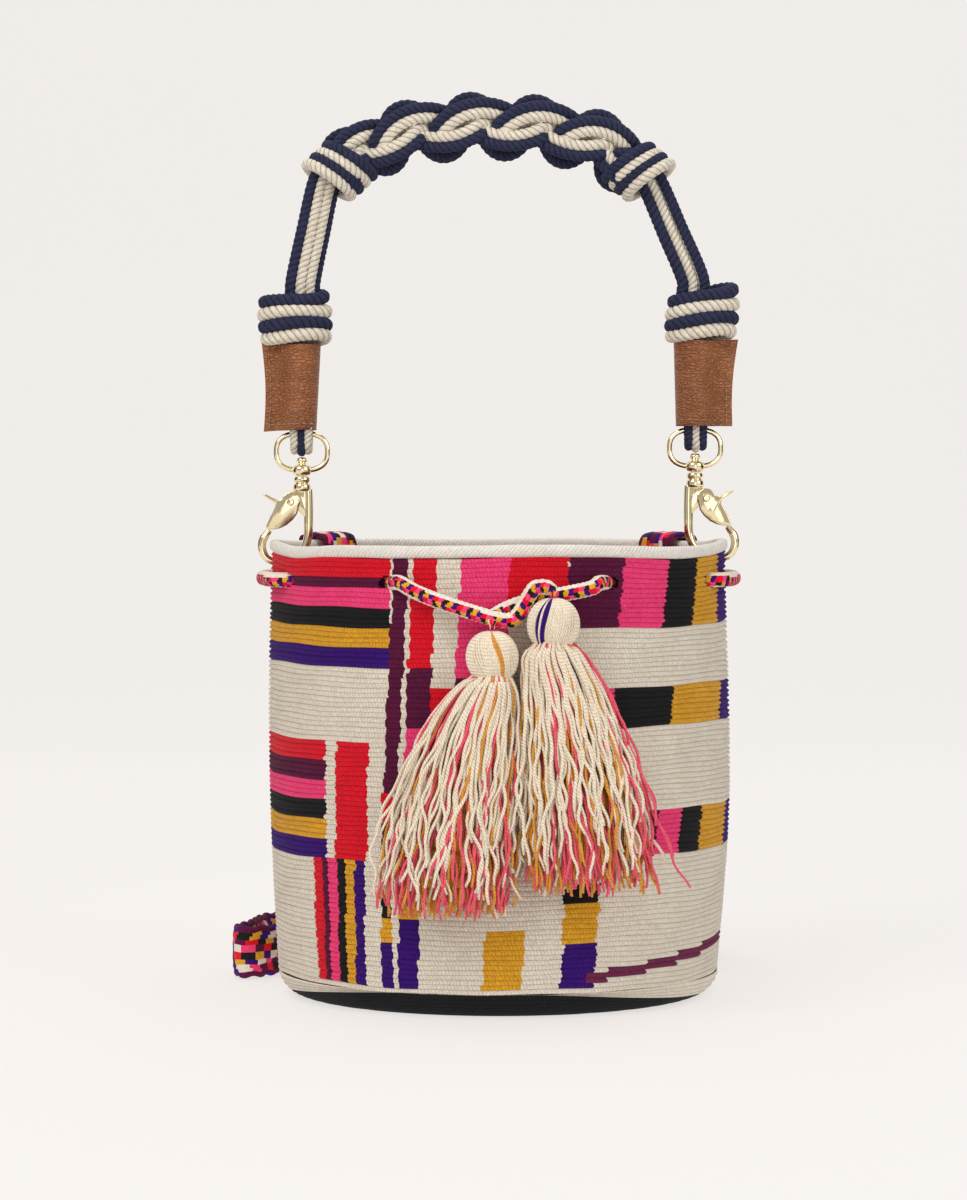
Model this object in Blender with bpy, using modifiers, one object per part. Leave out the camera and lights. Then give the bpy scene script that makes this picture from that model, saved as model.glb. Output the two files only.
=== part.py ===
# Crossbody bag: a crocheted bucket with a laced drawstring and two tassels, a knotted rope
# handle on two swivel clasps, and a woven shoulder strap. Metres, +Z up, front at -Y.
import math

import bmesh
import bpy
import numpy as np
from mathutils import Matrix, Vector

GAP = 0.0003                # between pieces that touch

# Bag
RIM_RADIUS = 0.1000         # outside of the wall under the rim
BELLY_RADIUS = 0.1015       # widest, at half height
FOOT_RADIUS = 0.0970        # outside of the wall above the base corner
BAG_HEIGHT = 0.1980
WALL = 0.0040
BASE_THICKNESS = 0.0045
BASE_CORNER = 0.0110
RIM_BAND = 0.0080           # height of the rolled edge
RIM_BULGE = 0.0008          # how far the rolled edge stands proud
ROUND_STEPS = 48

# Drawstring
CORD_RADIUS = 0.0030
CORD_CLEARANCE = 0.0006
LACE_SLOT = 2.2             # length of an eyelet over its height
LACE_DROP = 0.0160          # eyelets' centre below the rim
LACE_HEIGHT = BAG_HEIGHT - LACE_DROP
LACE_ANGLES = (27, 65, 105, 146)  # eyelets each side of the front, in degrees
LACE_LEAN = 3.6             # half of the angle in which the cord goes through the wall

# Clasps
RING_HALF_WIDTH = 0.0125
RING_HALF_HEIGHT = 0.0093
RING_WIRE = 0.00115
RING_POWER = 2.6
HOOK_DROP = 0.0485          # ring centre to the middle of the claw's lowest wire
HOOK_REACH = 0.0115         # ring centre to the claw's lowest point, outwards
EYELET_DROP = {"left": 0.0092, "right": 0.0075}     # the hooks' eyelets below the rim
RING_X = RIM_RADIUS - WALL / 2 - HOOK_REACH         # ring centre, each side
RING_Z = {side: BAG_HEIGHT - drop + HOOK_DROP for side, drop in EYELET_DROP.items()}
HOOK_WIRE = 0.0016
HOLE_CLEARANCE = 0.0013
HOLE_RISE = 0.0007
POST_RADIUS = 0.0016
POST_HEAD = 0.0022
COLLAR_RADIUS = 0.0037
COLLAR_HEIGHT = 0.0044
RIVET_RADIUS = 0.0010
HEAD_PLATE = 0.0022         # thickness of the hook's head between the gate's cheeks
GATE_WIDTH = 0.0052

# Handle
HANDLE_CORD = 0.0018        # radius of a cord in the loops
LOOP_SPACING = 0.0039
LOOP_CLEARANCE = 0.0008
LOOP_SHIFT = 0.0010         # the loop sits this much inside the ring's middle
LEG_CORD = 0.0022
LEG_SPACING = 0.0047
WRAP_HEIGHT = 0.0375
WRAP_WIDTH = 0.0260
WRAP_DEPTH = 0.0165
WRAP_WALL = 0.0014
KNOT_HALF_WIDTH = 0.0165
KNOT_HALF_DEPTH = 0.0115
KNOT_HEIGHT = 0.0235
PLAIT_RADIUS = 0.0042
PLAIT_SWING = 0.0086        # sideways swing of a strand
PLAIT_DEPTH = 0.0068        # front to back swing
PLAIT_TURNS = 2

# Tassels
TASSEL_HEAD = 0.0108
TIP_LENGTH = 0.0042         # the cord's end narrows where it goes into the head
TIP_SHARE = 0.27
TIP_GAP = 0.0007
TASSEL_CLEARANCE = 0.0007
TASSEL_BACK = -BELLY_RADIUS - TASSEL_CLEARANCE      # the plane the tassels hang in front of
TASSEL_MEET = 0.0090        # the plane between the two tassels
SKIRT_TOP = 0.0085
SKIRT_DEPTH = 0.0115
TASSELS = {
    # head x, drop of the head below the eyelets, skirt bottom x, half width, length under the head
    "left": (-0.0030, 0.0300, -0.0185, 0.0270, 0.1040),
    "right": (0.0220, 0.0165, 0.0360, 0.0255, 0.1075),
}

# Shoulder strap
STRAP_WIDTH = 0.0240
STRAP_THICKNESS = 0.0050
STRAP_ANGLE = 52            # where it crosses the rim, from the back

CREAM = (0.74, 0.66, 0.55)
GOLD = (0.80, 0.68, 0.42)


def clear_scene():
    for item in list(bpy.data.objects):
        bpy.data.objects.remove(item, do_unlink=True)


def collection(name):
    made = bpy.data.collections.new(name)
    bpy.context.scene.collection.children.link(made)
    return made


def material(name, color, rough, metal=0.0):
    made = bpy.data.materials.get(name) or bpy.data.materials.new(name)
    made.use_nodes = True
    shader = made.node_tree.nodes["Principled BSDF"]
    shader.inputs["Base Color"].default_value = (*color, 1)
    shader.inputs["Roughness"].default_value = rough
    shader.inputs["Metallic"].default_value = metal
    return made


clear_scene()
PARTS = collection("crossbody_bag")
CUTTERS = collection("cutters")
LOOKS = {
    "crochet": material("crochet", CREAM, 0.9),
    "drawcord": material("drawcord", (0.62, 0.35, 0.30), 0.85),
    "navy": material("navy_cord", (0.03, 0.035, 0.07), 0.9),
    "cream": material("cream_cord", (0.70, 0.65, 0.56), 0.85),
    "leather": material("tan_leather", (0.38, 0.15, 0.055), 0.6),
    "gold": material("pale_gold", GOLD, 0.22, 1.0),
    "yarn": material("tassel_yarn", CREAM, 0.9),
    "strap": material("woven_strap", (0.30, 0.06, 0.16), 0.9),
}


def place(item, look, parent=None, into=None):
    # Puts a new object in its collection, with its material and parent
    for old in list(item.users_collection):
        old.objects.unlink(item)
    (into or PARTS).objects.link(item)
    if look:
        item.data.materials.clear()
        item.data.materials.append(LOOKS[look])
    if parent:
        item.parent = parent
        item.matrix_parent_inverse = parent.matrix_world.inverted()
    return item


def mesh_object(name, verts, faces, edges=()):
    data = bpy.data.meshes.new(name)
    data.from_pydata([tuple(v) for v in verts], list(edges), faces)
    data.update()
    return bpy.data.objects.new(name, data)


def empty(name, point, parent=None):
    item = bpy.data.objects.new(name, None)
    item.empty_display_size = 0.01
    item.location = point
    PARTS.objects.link(item)
    if parent:
        item.parent = parent
        bpy.context.view_layer.update()
        item.matrix_parent_inverse = parent.matrix_world.inverted()
    bpy.context.view_layer.update()
    return item


def turned(name, profile, steps=ROUND_STEPS):
    # A profile of (radius, z) turned round Z, from its inner side over the top and down outside
    item = mesh_object(name, [(r, 0, z) for r, z in profile], [], [(i, i + 1) for i in range(len(profile) - 1)])
    screw = item.modifiers.new("turn", "SCREW")
    screw.steps = steps
    screw.render_steps = steps
    screw.use_merge_vertices = True
    screw.merge_threshold = 0.00001
    return item


def tube(name, points, radius, closed=False, sides=2, ends=1.0):
    data = bpy.data.curves.new(name, "CURVE")
    data.dimensions = "3D"
    data.bevel_depth = radius
    data.bevel_resolution = sides
    data.use_fill_caps = True
    data.render_resolution_u = 0
    spline = data.splines.new("POLY")
    spline.points.add(len(points) - 1)
    for knot, point in zip(spline.points, points):
        knot.co = (*point, 1)
    spline.use_cyclic_u = closed
    if not closed:
        spline.points[0].radius = ends
        spline.points[-1].radius = ends
    return bpy.data.objects.new(name, data)


def plate(name, outlines, thickness):
    # A flat outline in X and Y with its holes, extruded to its thickness about Z = 0
    data = bpy.data.curves.new(name, "CURVE")
    data.dimensions = "2D"
    data.fill_mode = "BOTH"
    data.extrude = thickness / 2
    data.render_resolution_u = 0
    for outline in outlines:
        spline = data.splines.new("POLY")
        spline.points.add(len(outline) - 1)
        for knot, point in zip(spline.points, outline):
            knot.co = (point[0], point[1], 0, 1)
        spline.use_cyclic_u = True
    return bpy.data.objects.new(name, data)


def as_mesh(item):
    # The same shape as one welded mesh, for a Boolean
    bpy.context.scene.collection.objects.link(item)
    bpy.context.view_layer.update()
    graph = bpy.context.evaluated_depsgraph_get()
    data = bpy.data.meshes.new_from_object(item.evaluated_get(graph))
    frame = item.matrix_world.copy()
    name = item.name
    bpy.data.objects.remove(item)
    work = bmesh.new()
    work.from_mesh(data)
    bmesh.ops.remove_doubles(work, verts=work.verts, dist=0.000005)
    bmesh.ops.recalc_face_normals(work, faces=work.faces)
    work.to_mesh(data)
    work.free()
    made = bpy.data.objects.new(name, data)
    made.matrix_world = frame
    return made


def rod(name, radius, length, point, axis, sides=16):
    # A cylinder primitive about a point, along an axis
    data = bpy.data.meshes.new(name)
    work = bmesh.new()
    bmesh.ops.create_cone(work, cap_ends=True, segments=sides, radius1=radius, radius2=radius, depth=length)
    work.to_mesh(data)
    work.free()
    item = bpy.data.objects.new(name, data)
    turn = Vector((0, 0, 1)).rotation_difference(Vector(axis)).to_matrix().to_4x4()
    item.matrix_world = Matrix.Translation(point) @ turn
    return item


def block(name, size, point):
    data = bpy.data.meshes.new(name)
    work = bmesh.new()
    bmesh.ops.create_cube(work, size=1)
    bmesh.ops.scale(work, vec=size, verts=work.verts)
    work.to_mesh(data)
    work.free()
    item = bpy.data.objects.new(name, data)
    item.location = point
    return item


def boolean(item, other, operation):
    place(other, None, into=CUTTERS)
    other.hide_render = True
    other.display_type = "WIRE"
    cut = item.modifiers.new(operation.lower(), "BOOLEAN")
    cut.operation = operation
    cut.object = other
    cut.solver = "EXACT"


def smooth(points, spacing):
    # Evenly spaced points on a Catmull-Rom curve through a route's own points
    knots = [np.array(p, float) for p in points]
    knots = [2 * knots[0] - knots[1], *knots, 2 * knots[-1] - knots[-2]]
    line = []
    for a, b, c, d in zip(knots, knots[1:], knots[2:], knots[3:]):
        for step in range(24):
            t = step / 24
            line.append(0.5 * (2 * b + (c - a) * t + (2 * a - 5 * b + 4 * c - d) * t * t
                               + (3 * b - a - 3 * c + d) * t ** 3))
    line.append(knots[-2])
    line = np.array(line)
    along = np.concatenate([[0], np.cumsum(np.linalg.norm(np.diff(line[:, :3], axis=0), axis=1))])
    at = np.linspace(0, along[-1], max(2, round(along[-1] / spacing) + 1))
    return [Vector(p) for p in np.stack([np.interp(at, along, column) for column in line.T], axis=1)]


def hang(side):
    # A tassel's head x and z, and its skirt's bottom x, half width and bottom z
    x, drop, low_x, half, length = TASSELS[side]
    return x, LACE_HEIGHT - drop, low_x, half, LACE_HEIGHT - drop - length


def on_bag(angle, radius, z):
    # A point at an angle from the front, positive to +X
    return Vector((radius * math.sin(math.radians(angle)), -radius * math.cos(math.radians(angle)), z))


def wall_profile():
    inner = RIM_RADIUS - WALL
    rim_low = BAG_HEIGHT - RIM_BAND
    middle = (BASE_CORNER + rim_low) / 2
    outside = [(RIM_RADIUS, rim_low - 0.0005)]
    for z in np.linspace(rim_low - 0.012, BASE_CORNER + 0.004, 7):
        share = (z - middle) / (rim_low - middle)
        edge = RIM_RADIUS if share > 0 else FOOT_RADIUS
        outside.append((edge + (BELLY_RADIUS - edge) * math.cos(share * math.pi / 2), float(z)))
    corner = [(FOOT_RADIUS - BASE_CORNER * (1 - math.cos(math.radians(a))),
               BASE_CORNER * (1 - math.sin(math.radians(a)))) for a in (0, 22, 45, 68, 90)]
    inside = [(r - WALL, z) for r, z in reversed(outside)]
    hollow = [(FOOT_RADIUS - BASE_CORNER, BASE_THICKNESS), (FOOT_RADIUS - WALL - 0.0015, BASE_CORNER)]
    half = (WALL + RIM_BULGE) / 2
    centre = inner + WALL / 2 + RIM_BULGE / 2
    roll = [(inner, rim_low + 0.0008)]
    for a in (150, 120, 90, 60, 30, 0):
        roll.append((centre + half * math.cos(math.radians(a)),
                     BAG_HEIGHT - half + half * math.sin(math.radians(a))))
    roll.append((RIM_RADIUS + RIM_BULGE, rim_low + 0.0012))
    return [(0, BASE_THICKNESS), *hollow, *inside, *roll, *outside, *corner, (0, 0)]


def bag_body():
    item = turned("bag_body", wall_profile())
    place(item, "crochet")
    hole = CORD_RADIUS + CORD_CLEARANCE
    for side in (-1, 1):
        for angle in LACE_ANGLES:
            cutter = rod("lace_hole", hole, 5 * WALL, on_bag(side * angle, RIM_RADIUS, LACE_HEIGHT), (0, 0, 1))
            outward = on_bag(side * angle, 1, 0)
            across = Vector((0, 0, 1)).cross(outward)
            frame = Matrix((across, (0, 0, 1), outward)).transposed().to_4x4()
            cutter.matrix_world = Matrix.Translation(cutter.location) @ frame @ Matrix.Diagonal((LACE_SLOT, 1, 1, 1))
            apply_frame(cutter)
            boolean(item, cutter, "DIFFERENCE")
    for side, sign in (("left", -1), ("right", 1)):
        height = RING_Z[side] - HOOK_DROP
        hook_hole = rod("hook_hole", HOOK_WIRE + HOLE_CLEARANCE, 5 * WALL,
                        (sign * (RIM_RADIUS - WALL / 2), 0, height + HOLE_RISE), (1, 0, 0))
        hook_hole.matrix_world = Matrix.Translation(hook_hole.location) @ Matrix.Diagonal((1, 1.5, 1.25, 1)) \
            @ hook_hole.matrix_world.to_3x3().to_4x4()
        apply_frame(hook_hole)
        boolean(item, hook_hole, "DIFFERENCE")
    return item


def apply_frame(item):
    item.data.transform(item.matrix_world)
    item.matrix_world = Matrix.Identity(4)


def lace_route():
    # In and out of the eyelets from one front end round the back to the other
    out = RIM_RADIUS + CORD_RADIUS + CORD_CLEARANCE
    inside = RIM_RADIUS - WALL - CORD_RADIUS - CORD_CLEARANCE
    middle = RIM_RADIUS - WALL / 2
    stops = [-a for a in LACE_ANGLES] + [a - 360 for a in reversed(LACE_ANGLES)]
    route = []
    for number, angle in enumerate(stops):
        before, after = (inside, out) if number % 2 else (out, inside)
        route += [(angle + LACE_LEAN, before), (angle, middle), (angle - LACE_LEAN, after)]
    full = []
    for (a, r), (b, s) in zip(route, route[1:]):
        full.append((a, r))
        if abs(b - a) > 12:
            for share in np.linspace(0, 1, max(3, round(abs(b - a) / 9)))[1:-1]:
                full.append((a + (b - a) * share, r + (s - r) * share))
    full.append(route[-1])
    return [on_bag(a, r, LACE_HEIGHT) for a, r in full]


# The cord's ends between the eyelets and the tassels: x, out from the rim's radius, above the eyelets
LEFT_END = [(0.0195, 0.0130, -0.0005), (0.0160, 0.0122, 0.0045), (0.0108, 0.0118, -0.0010),
            (0.0080, 0.0125, -0.0125), (0.0020, 0.0125, -0.0138), (-0.0180, 0.0095, -0.0095),
            (-0.0340, 0.0035, -0.0038)]
RIGHT_END = [(0.0380, 0.0020, -0.0020), (0.0230, 0.0045, -0.0050), (0.0110, 0.0052, -0.0075),
             (0.0025, 0.0060, -0.0105), (-0.0025, 0.0105, -0.0135)]


def drawstring():
    # The cord's left end hangs in the right tassel, and its right end in the left one
    start, end = (Vector((hang(side)[0], tassel_y(), hang(side)[1] + TASSEL_HEAD + TIP_GAP))
                  for side in ("right", "left"))
    ends = [[(x, -RIM_RADIUS - out, LACE_HEIGHT + up) for x, out, up in points] for points in (LEFT_END, RIGHT_END)]
    rise = Vector((0, 0, TIP_LENGTH))
    route = [start + rise, *ends[0], *lace_route(), *ends[1], end + rise]
    line = [start, *smooth(route, 2.8 * CORD_RADIUS), end]
    place(tube("drawstring", line, CORD_RADIUS, ends=TIP_SHARE), "drawcord")


def tassel_y():
    return TASSEL_BACK - GAP - TASSEL_HEAD


def tassel(side):
    x, z, low_x, half, low_z = hang(side)
    y = tassel_y()
    pivot = empty(f"{side}_tassel_pivot", (x, y, z + TASSEL_HEAD + TIP_GAP))
    data = bpy.data.meshes.new("head")
    work = bmesh.new()
    bmesh.ops.create_uvsphere(work, u_segments=20, v_segments=12, radius=TASSEL_HEAD)
    work.to_mesh(data)
    work.free()
    head = bpy.data.objects.new(f"{side}_tassel_head", data)
    head.location = (x, y, z)
    bpy.context.view_layer.update()
    neck = z - TASSEL_HEAD * 0.80
    cutter = block("neck_cut", (0.05, 0.05, 0.02), (x, y, neck - 0.01))
    place(head, "yarn", pivot)
    boolean(head, cutter, "DIFFERENCE")
    limit = (-1, TASSEL_MEET - GAP) if side == "left" else (TASSEL_MEET + GAP, 1)
    skirt = skirt_solid(f"{side}_tassel_skirt", (x, neck - GAP), (low_x, low_z), half, limit)
    place(skirt, "yarn", pivot)


def skirt_solid(name, top, bottom, half, limit):
    # A bundle of threads: fluted sections that widen from the neck and lie against the bag
    rows = 7
    around = 28
    verts = []
    for row in range(rows + 1):
        t = row / rows
        spread = math.sin(min(1, t * 1.25) * math.pi / 2)
        x = top[0] + (bottom[0] - top[0]) * t ** 1.2
        z = top[1] + (bottom[1] - top[1]) * t
        wide = SKIRT_TOP + (half - SKIRT_TOP) * spread
        low_x, high_x = max(x - wide, limit[0]), min(x + wide, limit[1])
        x, wide = (low_x + high_x) / 2, (high_x - low_x) / 2
        deep = SKIRT_TOP + (SKIRT_DEPTH - SKIRT_TOP) * spread
        y = TASSEL_BACK - GAP - max(deep, TASSEL_HEAD - 0.4 * TASSEL_HEAD * t)
        for k in range(around):
            a = 2 * math.pi * k / around
            flute = 1 - 0.07 * spread * (k % 2)
            verts.append((x + wide * flute * math.cos(a), y + deep * flute * math.sin(a), z))
    faces = []
    for row in range(rows):
        for k in range(around):
            a, b = row * around + k, row * around + (k + 1) % around
            faces.append((a, a + around, b + around, b))
    faces.append(tuple(range(around)))
    faces.append(tuple(reversed(range(rows * around, (rows + 1) * around))))
    return mesh_object(name, verts, faces)


def ring_points(count=24):
    points = []
    for k in range(count):
        a = 2 * math.pi * (k + 0.5) / count
        c, s = math.cos(a), math.sin(a)
        points.append((math.copysign(abs(c) ** (2 / RING_POWER), c) * (RING_HALF_WIDTH - RING_WIRE), 0,
                       math.copysign(abs(s) ** (2 / RING_POWER), s) * (RING_HALF_HEIGHT - RING_WIRE)))
    return points


def clasp(side, sign, rings):
    # The hook's long axis is the ring's upright middle line, and its claw opens outwards
    centre = Vector((sign * RING_X, 0, RING_Z[side]))
    ring = tube(f"{side}_ring", [centre + Vector(p) for p in ring_points()], RING_WIRE, closed=True)
    place(ring, "gold", rings)
    swivel_post(side, centre, rings)
    hook_pivot = empty(f"{side}_hook_pivot", centre, rings)
    hook(side, sign, centre, hook_pivot)
    gate(side, sign, centre, hook_pivot)


COLLAR_TOP = RING_HALF_HEIGHT + 0.0032      # below the ring centre


def swivel_post(side, centre, rings):
    boss_top = RING_HALF_HEIGHT - 2 * RING_WIRE - 0.0018
    boss_low = COLLAR_TOP - GAP
    shank_low = COLLAR_TOP + COLLAR_HEIGHT + GAP
    boss = 0.0031
    nub = 0.0016
    profile = [(0, -boss_top + 0.0022), (nub, -boss_top + 0.0018), (nub, -boss_top), (boss, -boss_top - 0.0006),
               (boss, -boss_low), (POST_RADIUS, -boss_low), (POST_RADIUS, -shank_low), (POST_HEAD, -shank_low),
               (POST_HEAD, -shank_low - 0.0012), (0, -shank_low - 0.0014)]
    post = turned(f"{side}_swivel_post", profile, 16)
    post.location = centre
    place(post, "gold", rings)
    bpy.context.view_layer.update()
    bore = rod("ring_bore", RING_WIRE + 0.0005, 0.02,
               centre + Vector((0, 0, -RING_HALF_HEIGHT + RING_WIRE + 0.0001)), (1, 0, 0), 12)
    boolean(post, bore, "DIFFERENCE")


def arc(centre, radius, start, end, count):
    angles = np.linspace(math.radians(start), math.radians(end), count)
    return [(centre[0] + radius * math.cos(a), centre[1] + radius * math.sin(a)) for a in angles]


RIVET_U = 0.0049            # from the hook's long axis, outwards
RIVET_W = -0.0222           # from the ring centre
SPINE_U = -0.0029
CLAW_OUT = 0.0173           # the claw's outermost wire
CLAW_TIP = (0.0142, -0.0357)


def hook(side, sign, centre, pivot):
    # Collar, head plate and J-shaped spine and claw, cast as one piece
    collar_low = COLLAR_TOP + COLLAR_HEIGHT
    bore = POST_RADIUS + GAP
    collar = turned("collar", [(0, -COLLAR_TOP), (COLLAR_RADIUS - 0.0006, -COLLAR_TOP),
                               (COLLAR_RADIUS, -COLLAR_TOP - 0.0006), (COLLAR_RADIUS, -collar_low),
                               (0, -collar_low)], 16)
    collar = as_mesh(collar)
    spine = [(SPINE_U, -collar_low + 0.0011, 0), (SPINE_U, -0.0220, 0), (SPINE_U, -0.0300, 0),
             (SPINE_U + 0.0004, -0.0380, 0), (SPINE_U + 0.0032, -0.0440, 0),
             (HOOK_REACH - 0.0042, -HOOK_DROP + 0.0007, 0), (HOOK_REACH, -HOOK_DROP, 0),
             (CLAW_OUT - 0.0018, -HOOK_DROP + 0.0017, 0), (CLAW_OUT, -HOOK_DROP + 0.0054, 0),
             (CLAW_OUT - 0.0003, -HOOK_DROP + 0.0090, 0), (CLAW_TIP[0], CLAW_TIP[1], 0)]
    wire = as_mesh(tube("spine", smooth(spine, 0.0032), HOOK_WIRE, sides=2))
    head = [*arc((RIVET_U, RIVET_W), 0.0027, -120, 60, 7), (0.0030, -collar_low + 0.0012),
            (-0.0034, -collar_low + 0.0012), (SPINE_U - 0.0010, -0.0300), (SPINE_U + 0.0010, -0.0300)]
    cheek = as_mesh(plate("head_plate", [head], HEAD_PLATE))
    frame = Matrix.Translation(centre) @ Matrix.Diagonal((sign, 1, 1, 1))
    upright = Matrix.Rotation(math.radians(90), 4, "X")
    for item, turn in ((collar, Matrix.Identity(4)), (wire, upright), (cheek, upright)):
        item.data.transform(frame @ turn @ item.matrix_world)
        item.matrix_world = Matrix.Identity(4)
        if sign < 0:
            item.data.flip_normals()
    body = place(collar, "gold", pivot)
    body.name = f"{side}_hook"
    boolean(body, cheek, "UNION")
    boolean(body, wire, "UNION")
    step_top, step_low = -collar_low + 0.0004, -collar_low - 0.0027
    recess = turned("post_recess", [(0, -COLLAR_TOP + 0.001), (bore, -COLLAR_TOP + 0.001), (bore, step_top),
                                    (POST_HEAD + GAP, step_top), (POST_HEAD + GAP, step_low), (0, step_low)], 14)
    recess.location = centre
    bpy.context.view_layer.update()
    boolean(body, recess, "DIFFERENCE")
    rivet_point = centre + Vector((sign * RIVET_U, 0, RIVET_W))
    rivet_hole = rod("rivet_hole", RIVET_RADIUS + GAP, 0.02, rivet_point, (0, 1, 0), 16)
    boolean(body, rivet_hole, "DIFFERENCE")
    rivet = turned("rivet", [(0, GATE_WIDTH / 2 + 0.0008), (0.0012, GATE_WIDTH / 2 + 0.0007),
                             (0.0016, GATE_WIDTH / 2 + GAP), (RIVET_RADIUS, GATE_WIDTH / 2 + GAP),
                             (RIVET_RADIUS, -GATE_WIDTH / 2 - GAP), (0.0016, -GATE_WIDTH / 2 - GAP),
                             (0.0012, -GATE_WIDTH / 2 - 0.0007), (0, -GATE_WIDTH / 2 - 0.0008)], 12)
    rivet.name = f"{side}_rivet"
    rivet.matrix_world = Matrix.Translation(rivet_point) @ upright
    bpy.context.view_layer.update()
    place(rivet, "gold", pivot)


def gate(side, sign, centre, hook_pivot):
    # A folded channel on the rivet: two cheeks, a web outside and a thumb tab above
    point = centre + Vector((sign * RIVET_U, 0, RIVET_W))
    pivot = empty(f"{side}_gate_pivot", point, hook_pivot)
    u, w = RIVET_U, RIVET_W
    tip_u, tip_w = CLAW_TIP
    outline = [*arc((u, w), 0.0031, 200, 50, 8), (0.0098, -0.0215), (0.0160, -0.0186), (0.0165, -0.0193),
               (0.0116, -0.0240), (0.0136, -0.0300), (0.0156, -0.0338), (tip_u - 0.0026, -0.0332),
               (0.0085, -0.0300), (0.0050, -0.0268)]
    inner = [*arc((u, w), 0.0060, 265, 95, 6), (0.0078, -0.0205), (0.0104, -0.0240), (0.0122, -0.0300),
             (0.0138, -0.0335), (0.0100, -0.0360), (0.0040, -0.0320)]
    upright = Matrix.Rotation(math.radians(90), 4, "X")
    frame = Matrix.Translation(centre) @ Matrix.Diagonal((sign, 1, 1, 1)) @ upright
    shell = as_mesh(plate(f"{side}_gate", [outline], GATE_WIDTH))
    channel = as_mesh(plate("gate_channel", [inner], HEAD_PLATE + 2 * GAP + 0.0006))
    for item in (shell, channel):
        item.data.transform(frame)
        if sign < 0:
            item.data.flip_normals()
    place(shell, "gold", pivot)
    boolean(shell, channel, "DIFFERENCE")
    boolean(shell, rod("gate_bore", RIVET_RADIUS + GAP, 0.02, point, (0, 1, 0), 16), "DIFFERENCE")


def rope_loop(side, sign, number, pivot):
    # A cord folded round the top of the ring, its two ends inside the leather
    x = sign * (RING_X - LOOP_SHIFT + (number - 1) * LOOP_SPACING)
    bar = RING_Z[side] + RING_HALF_HEIGHT - RING_WIRE
    bend = HANDLE_CORD + RING_WIRE + LOOP_CLEARANCE
    low = bar - 0.0045
    top = bar + WRAP_HEIGHT - 0.0030
    points = [Vector((x, bend, top)), Vector((x, bend, (top + low) / 2))]
    points += [Vector((x, bend * math.cos(a), low - bend * math.sin(a))) for a in np.linspace(0, math.pi, 7)]
    points += [Vector((x, -bend, (top + low) / 2)), Vector((x, -bend, top))]
    look = "navy" if number == 1 else "cream"
    place(tube(f"{side}_loop_cord_{number + 1}", points, HANDLE_CORD), look, pivot)


def wrap_outline(grow):
    # Round over the ropes, drawn flat to the sewn edge outside
    half = WRAP_DEPTH / 2 - WRAP_WALL + grow
    pocket = 0.0070 + grow
    seam = 0.0 if grow == 0 else WRAP_WALL + 0.0002
    edge = WRAP_WIDTH - pocket - 0.0012 if grow else WRAP_WIDTH - 0.0070 - WRAP_WALL - 0.0075
    points = [(-pocket + 0.0015, half), (0.0050, half), (edge * 0.78, half * 0.45 + 0.0004 * bool(grow))]
    points += [(edge, max(seam, 0.0005)), (edge, -max(seam, 0.0005))]
    points += [(edge * 0.78, -half * 0.45 - 0.0004 * bool(grow)), (0.0050, -half), (-pocket + 0.0015, -half)]
    points += [(-pocket, -half * 0.78), (-pocket, half * 0.78)]
    return points


def leather_wrap(side, sign, pivot):
    item = plate(f"{side}_leather_wrap", [wrap_outline(WRAP_WALL), wrap_outline(0)], WRAP_HEIGHT)
    low = RING_Z[side] + RING_HALF_HEIGHT + GAP
    item = as_mesh(item)
    item.data.transform(Matrix.Translation((sign * RING_X, 0, low + WRAP_HEIGHT / 2)) @ Matrix.Diagonal((sign, 1, 1, 1)))
    if sign < 0:
        item.data.flip_normals()
    place(item, "leather", pivot)
    return low + WRAP_HEIGHT


def knot(side, sign, low, pivot):
    # Four turns of cord round the ropes above the leather
    turns = 4
    profile = [(0, KNOT_HEIGHT)]
    step = KNOT_HEIGHT / turns
    for turn in reversed(range(turns)):
        waist = 0.80 if turn in (0, turns - 1) else 1.0
        for a in (55, 0, -55):
            r = KNOT_HALF_WIDTH * waist - step * 0.6 + step * 0.6 * math.cos(math.radians(a))
            profile.append((r, (turn + 0.5) * step + step * 0.5 * math.sin(math.radians(a))))
    profile.append((0, 0))
    item = as_mesh(turned(f"{side}_knot", profile, 20))
    item.data.transform(Matrix.Translation((sign * (RING_X + 0.0025), 0, low + GAP))
                        @ Matrix.Diagonal((1, KNOT_HALF_DEPTH / KNOT_HALF_WIDTH, 1, 1)))
    place(item, "navy", pivot)
    return low + GAP + KNOT_HEIGHT


# The knotted stretch of the handle: x, and height above the rim
ARCH = [(-0.0740, 0.1590), (-0.0560, 0.1735), (-0.0320, 0.1805), (-0.0040, 0.1825), (0.0250, 0.1800),
        (0.0480, 0.1725), (0.0655, 0.1590)]


def handle(pivot):
    tops = {}
    for side, sign in (("left", -1), ("right", 1)):
        for number in range(3):
            rope_loop(side, sign, number, pivot)
        tops[side] = knot(side, sign, leather_wrap(side, sign, pivot), pivot)
        leg(side, sign, tops[side] + GAP, pivot)
    plait(pivot)


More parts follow.
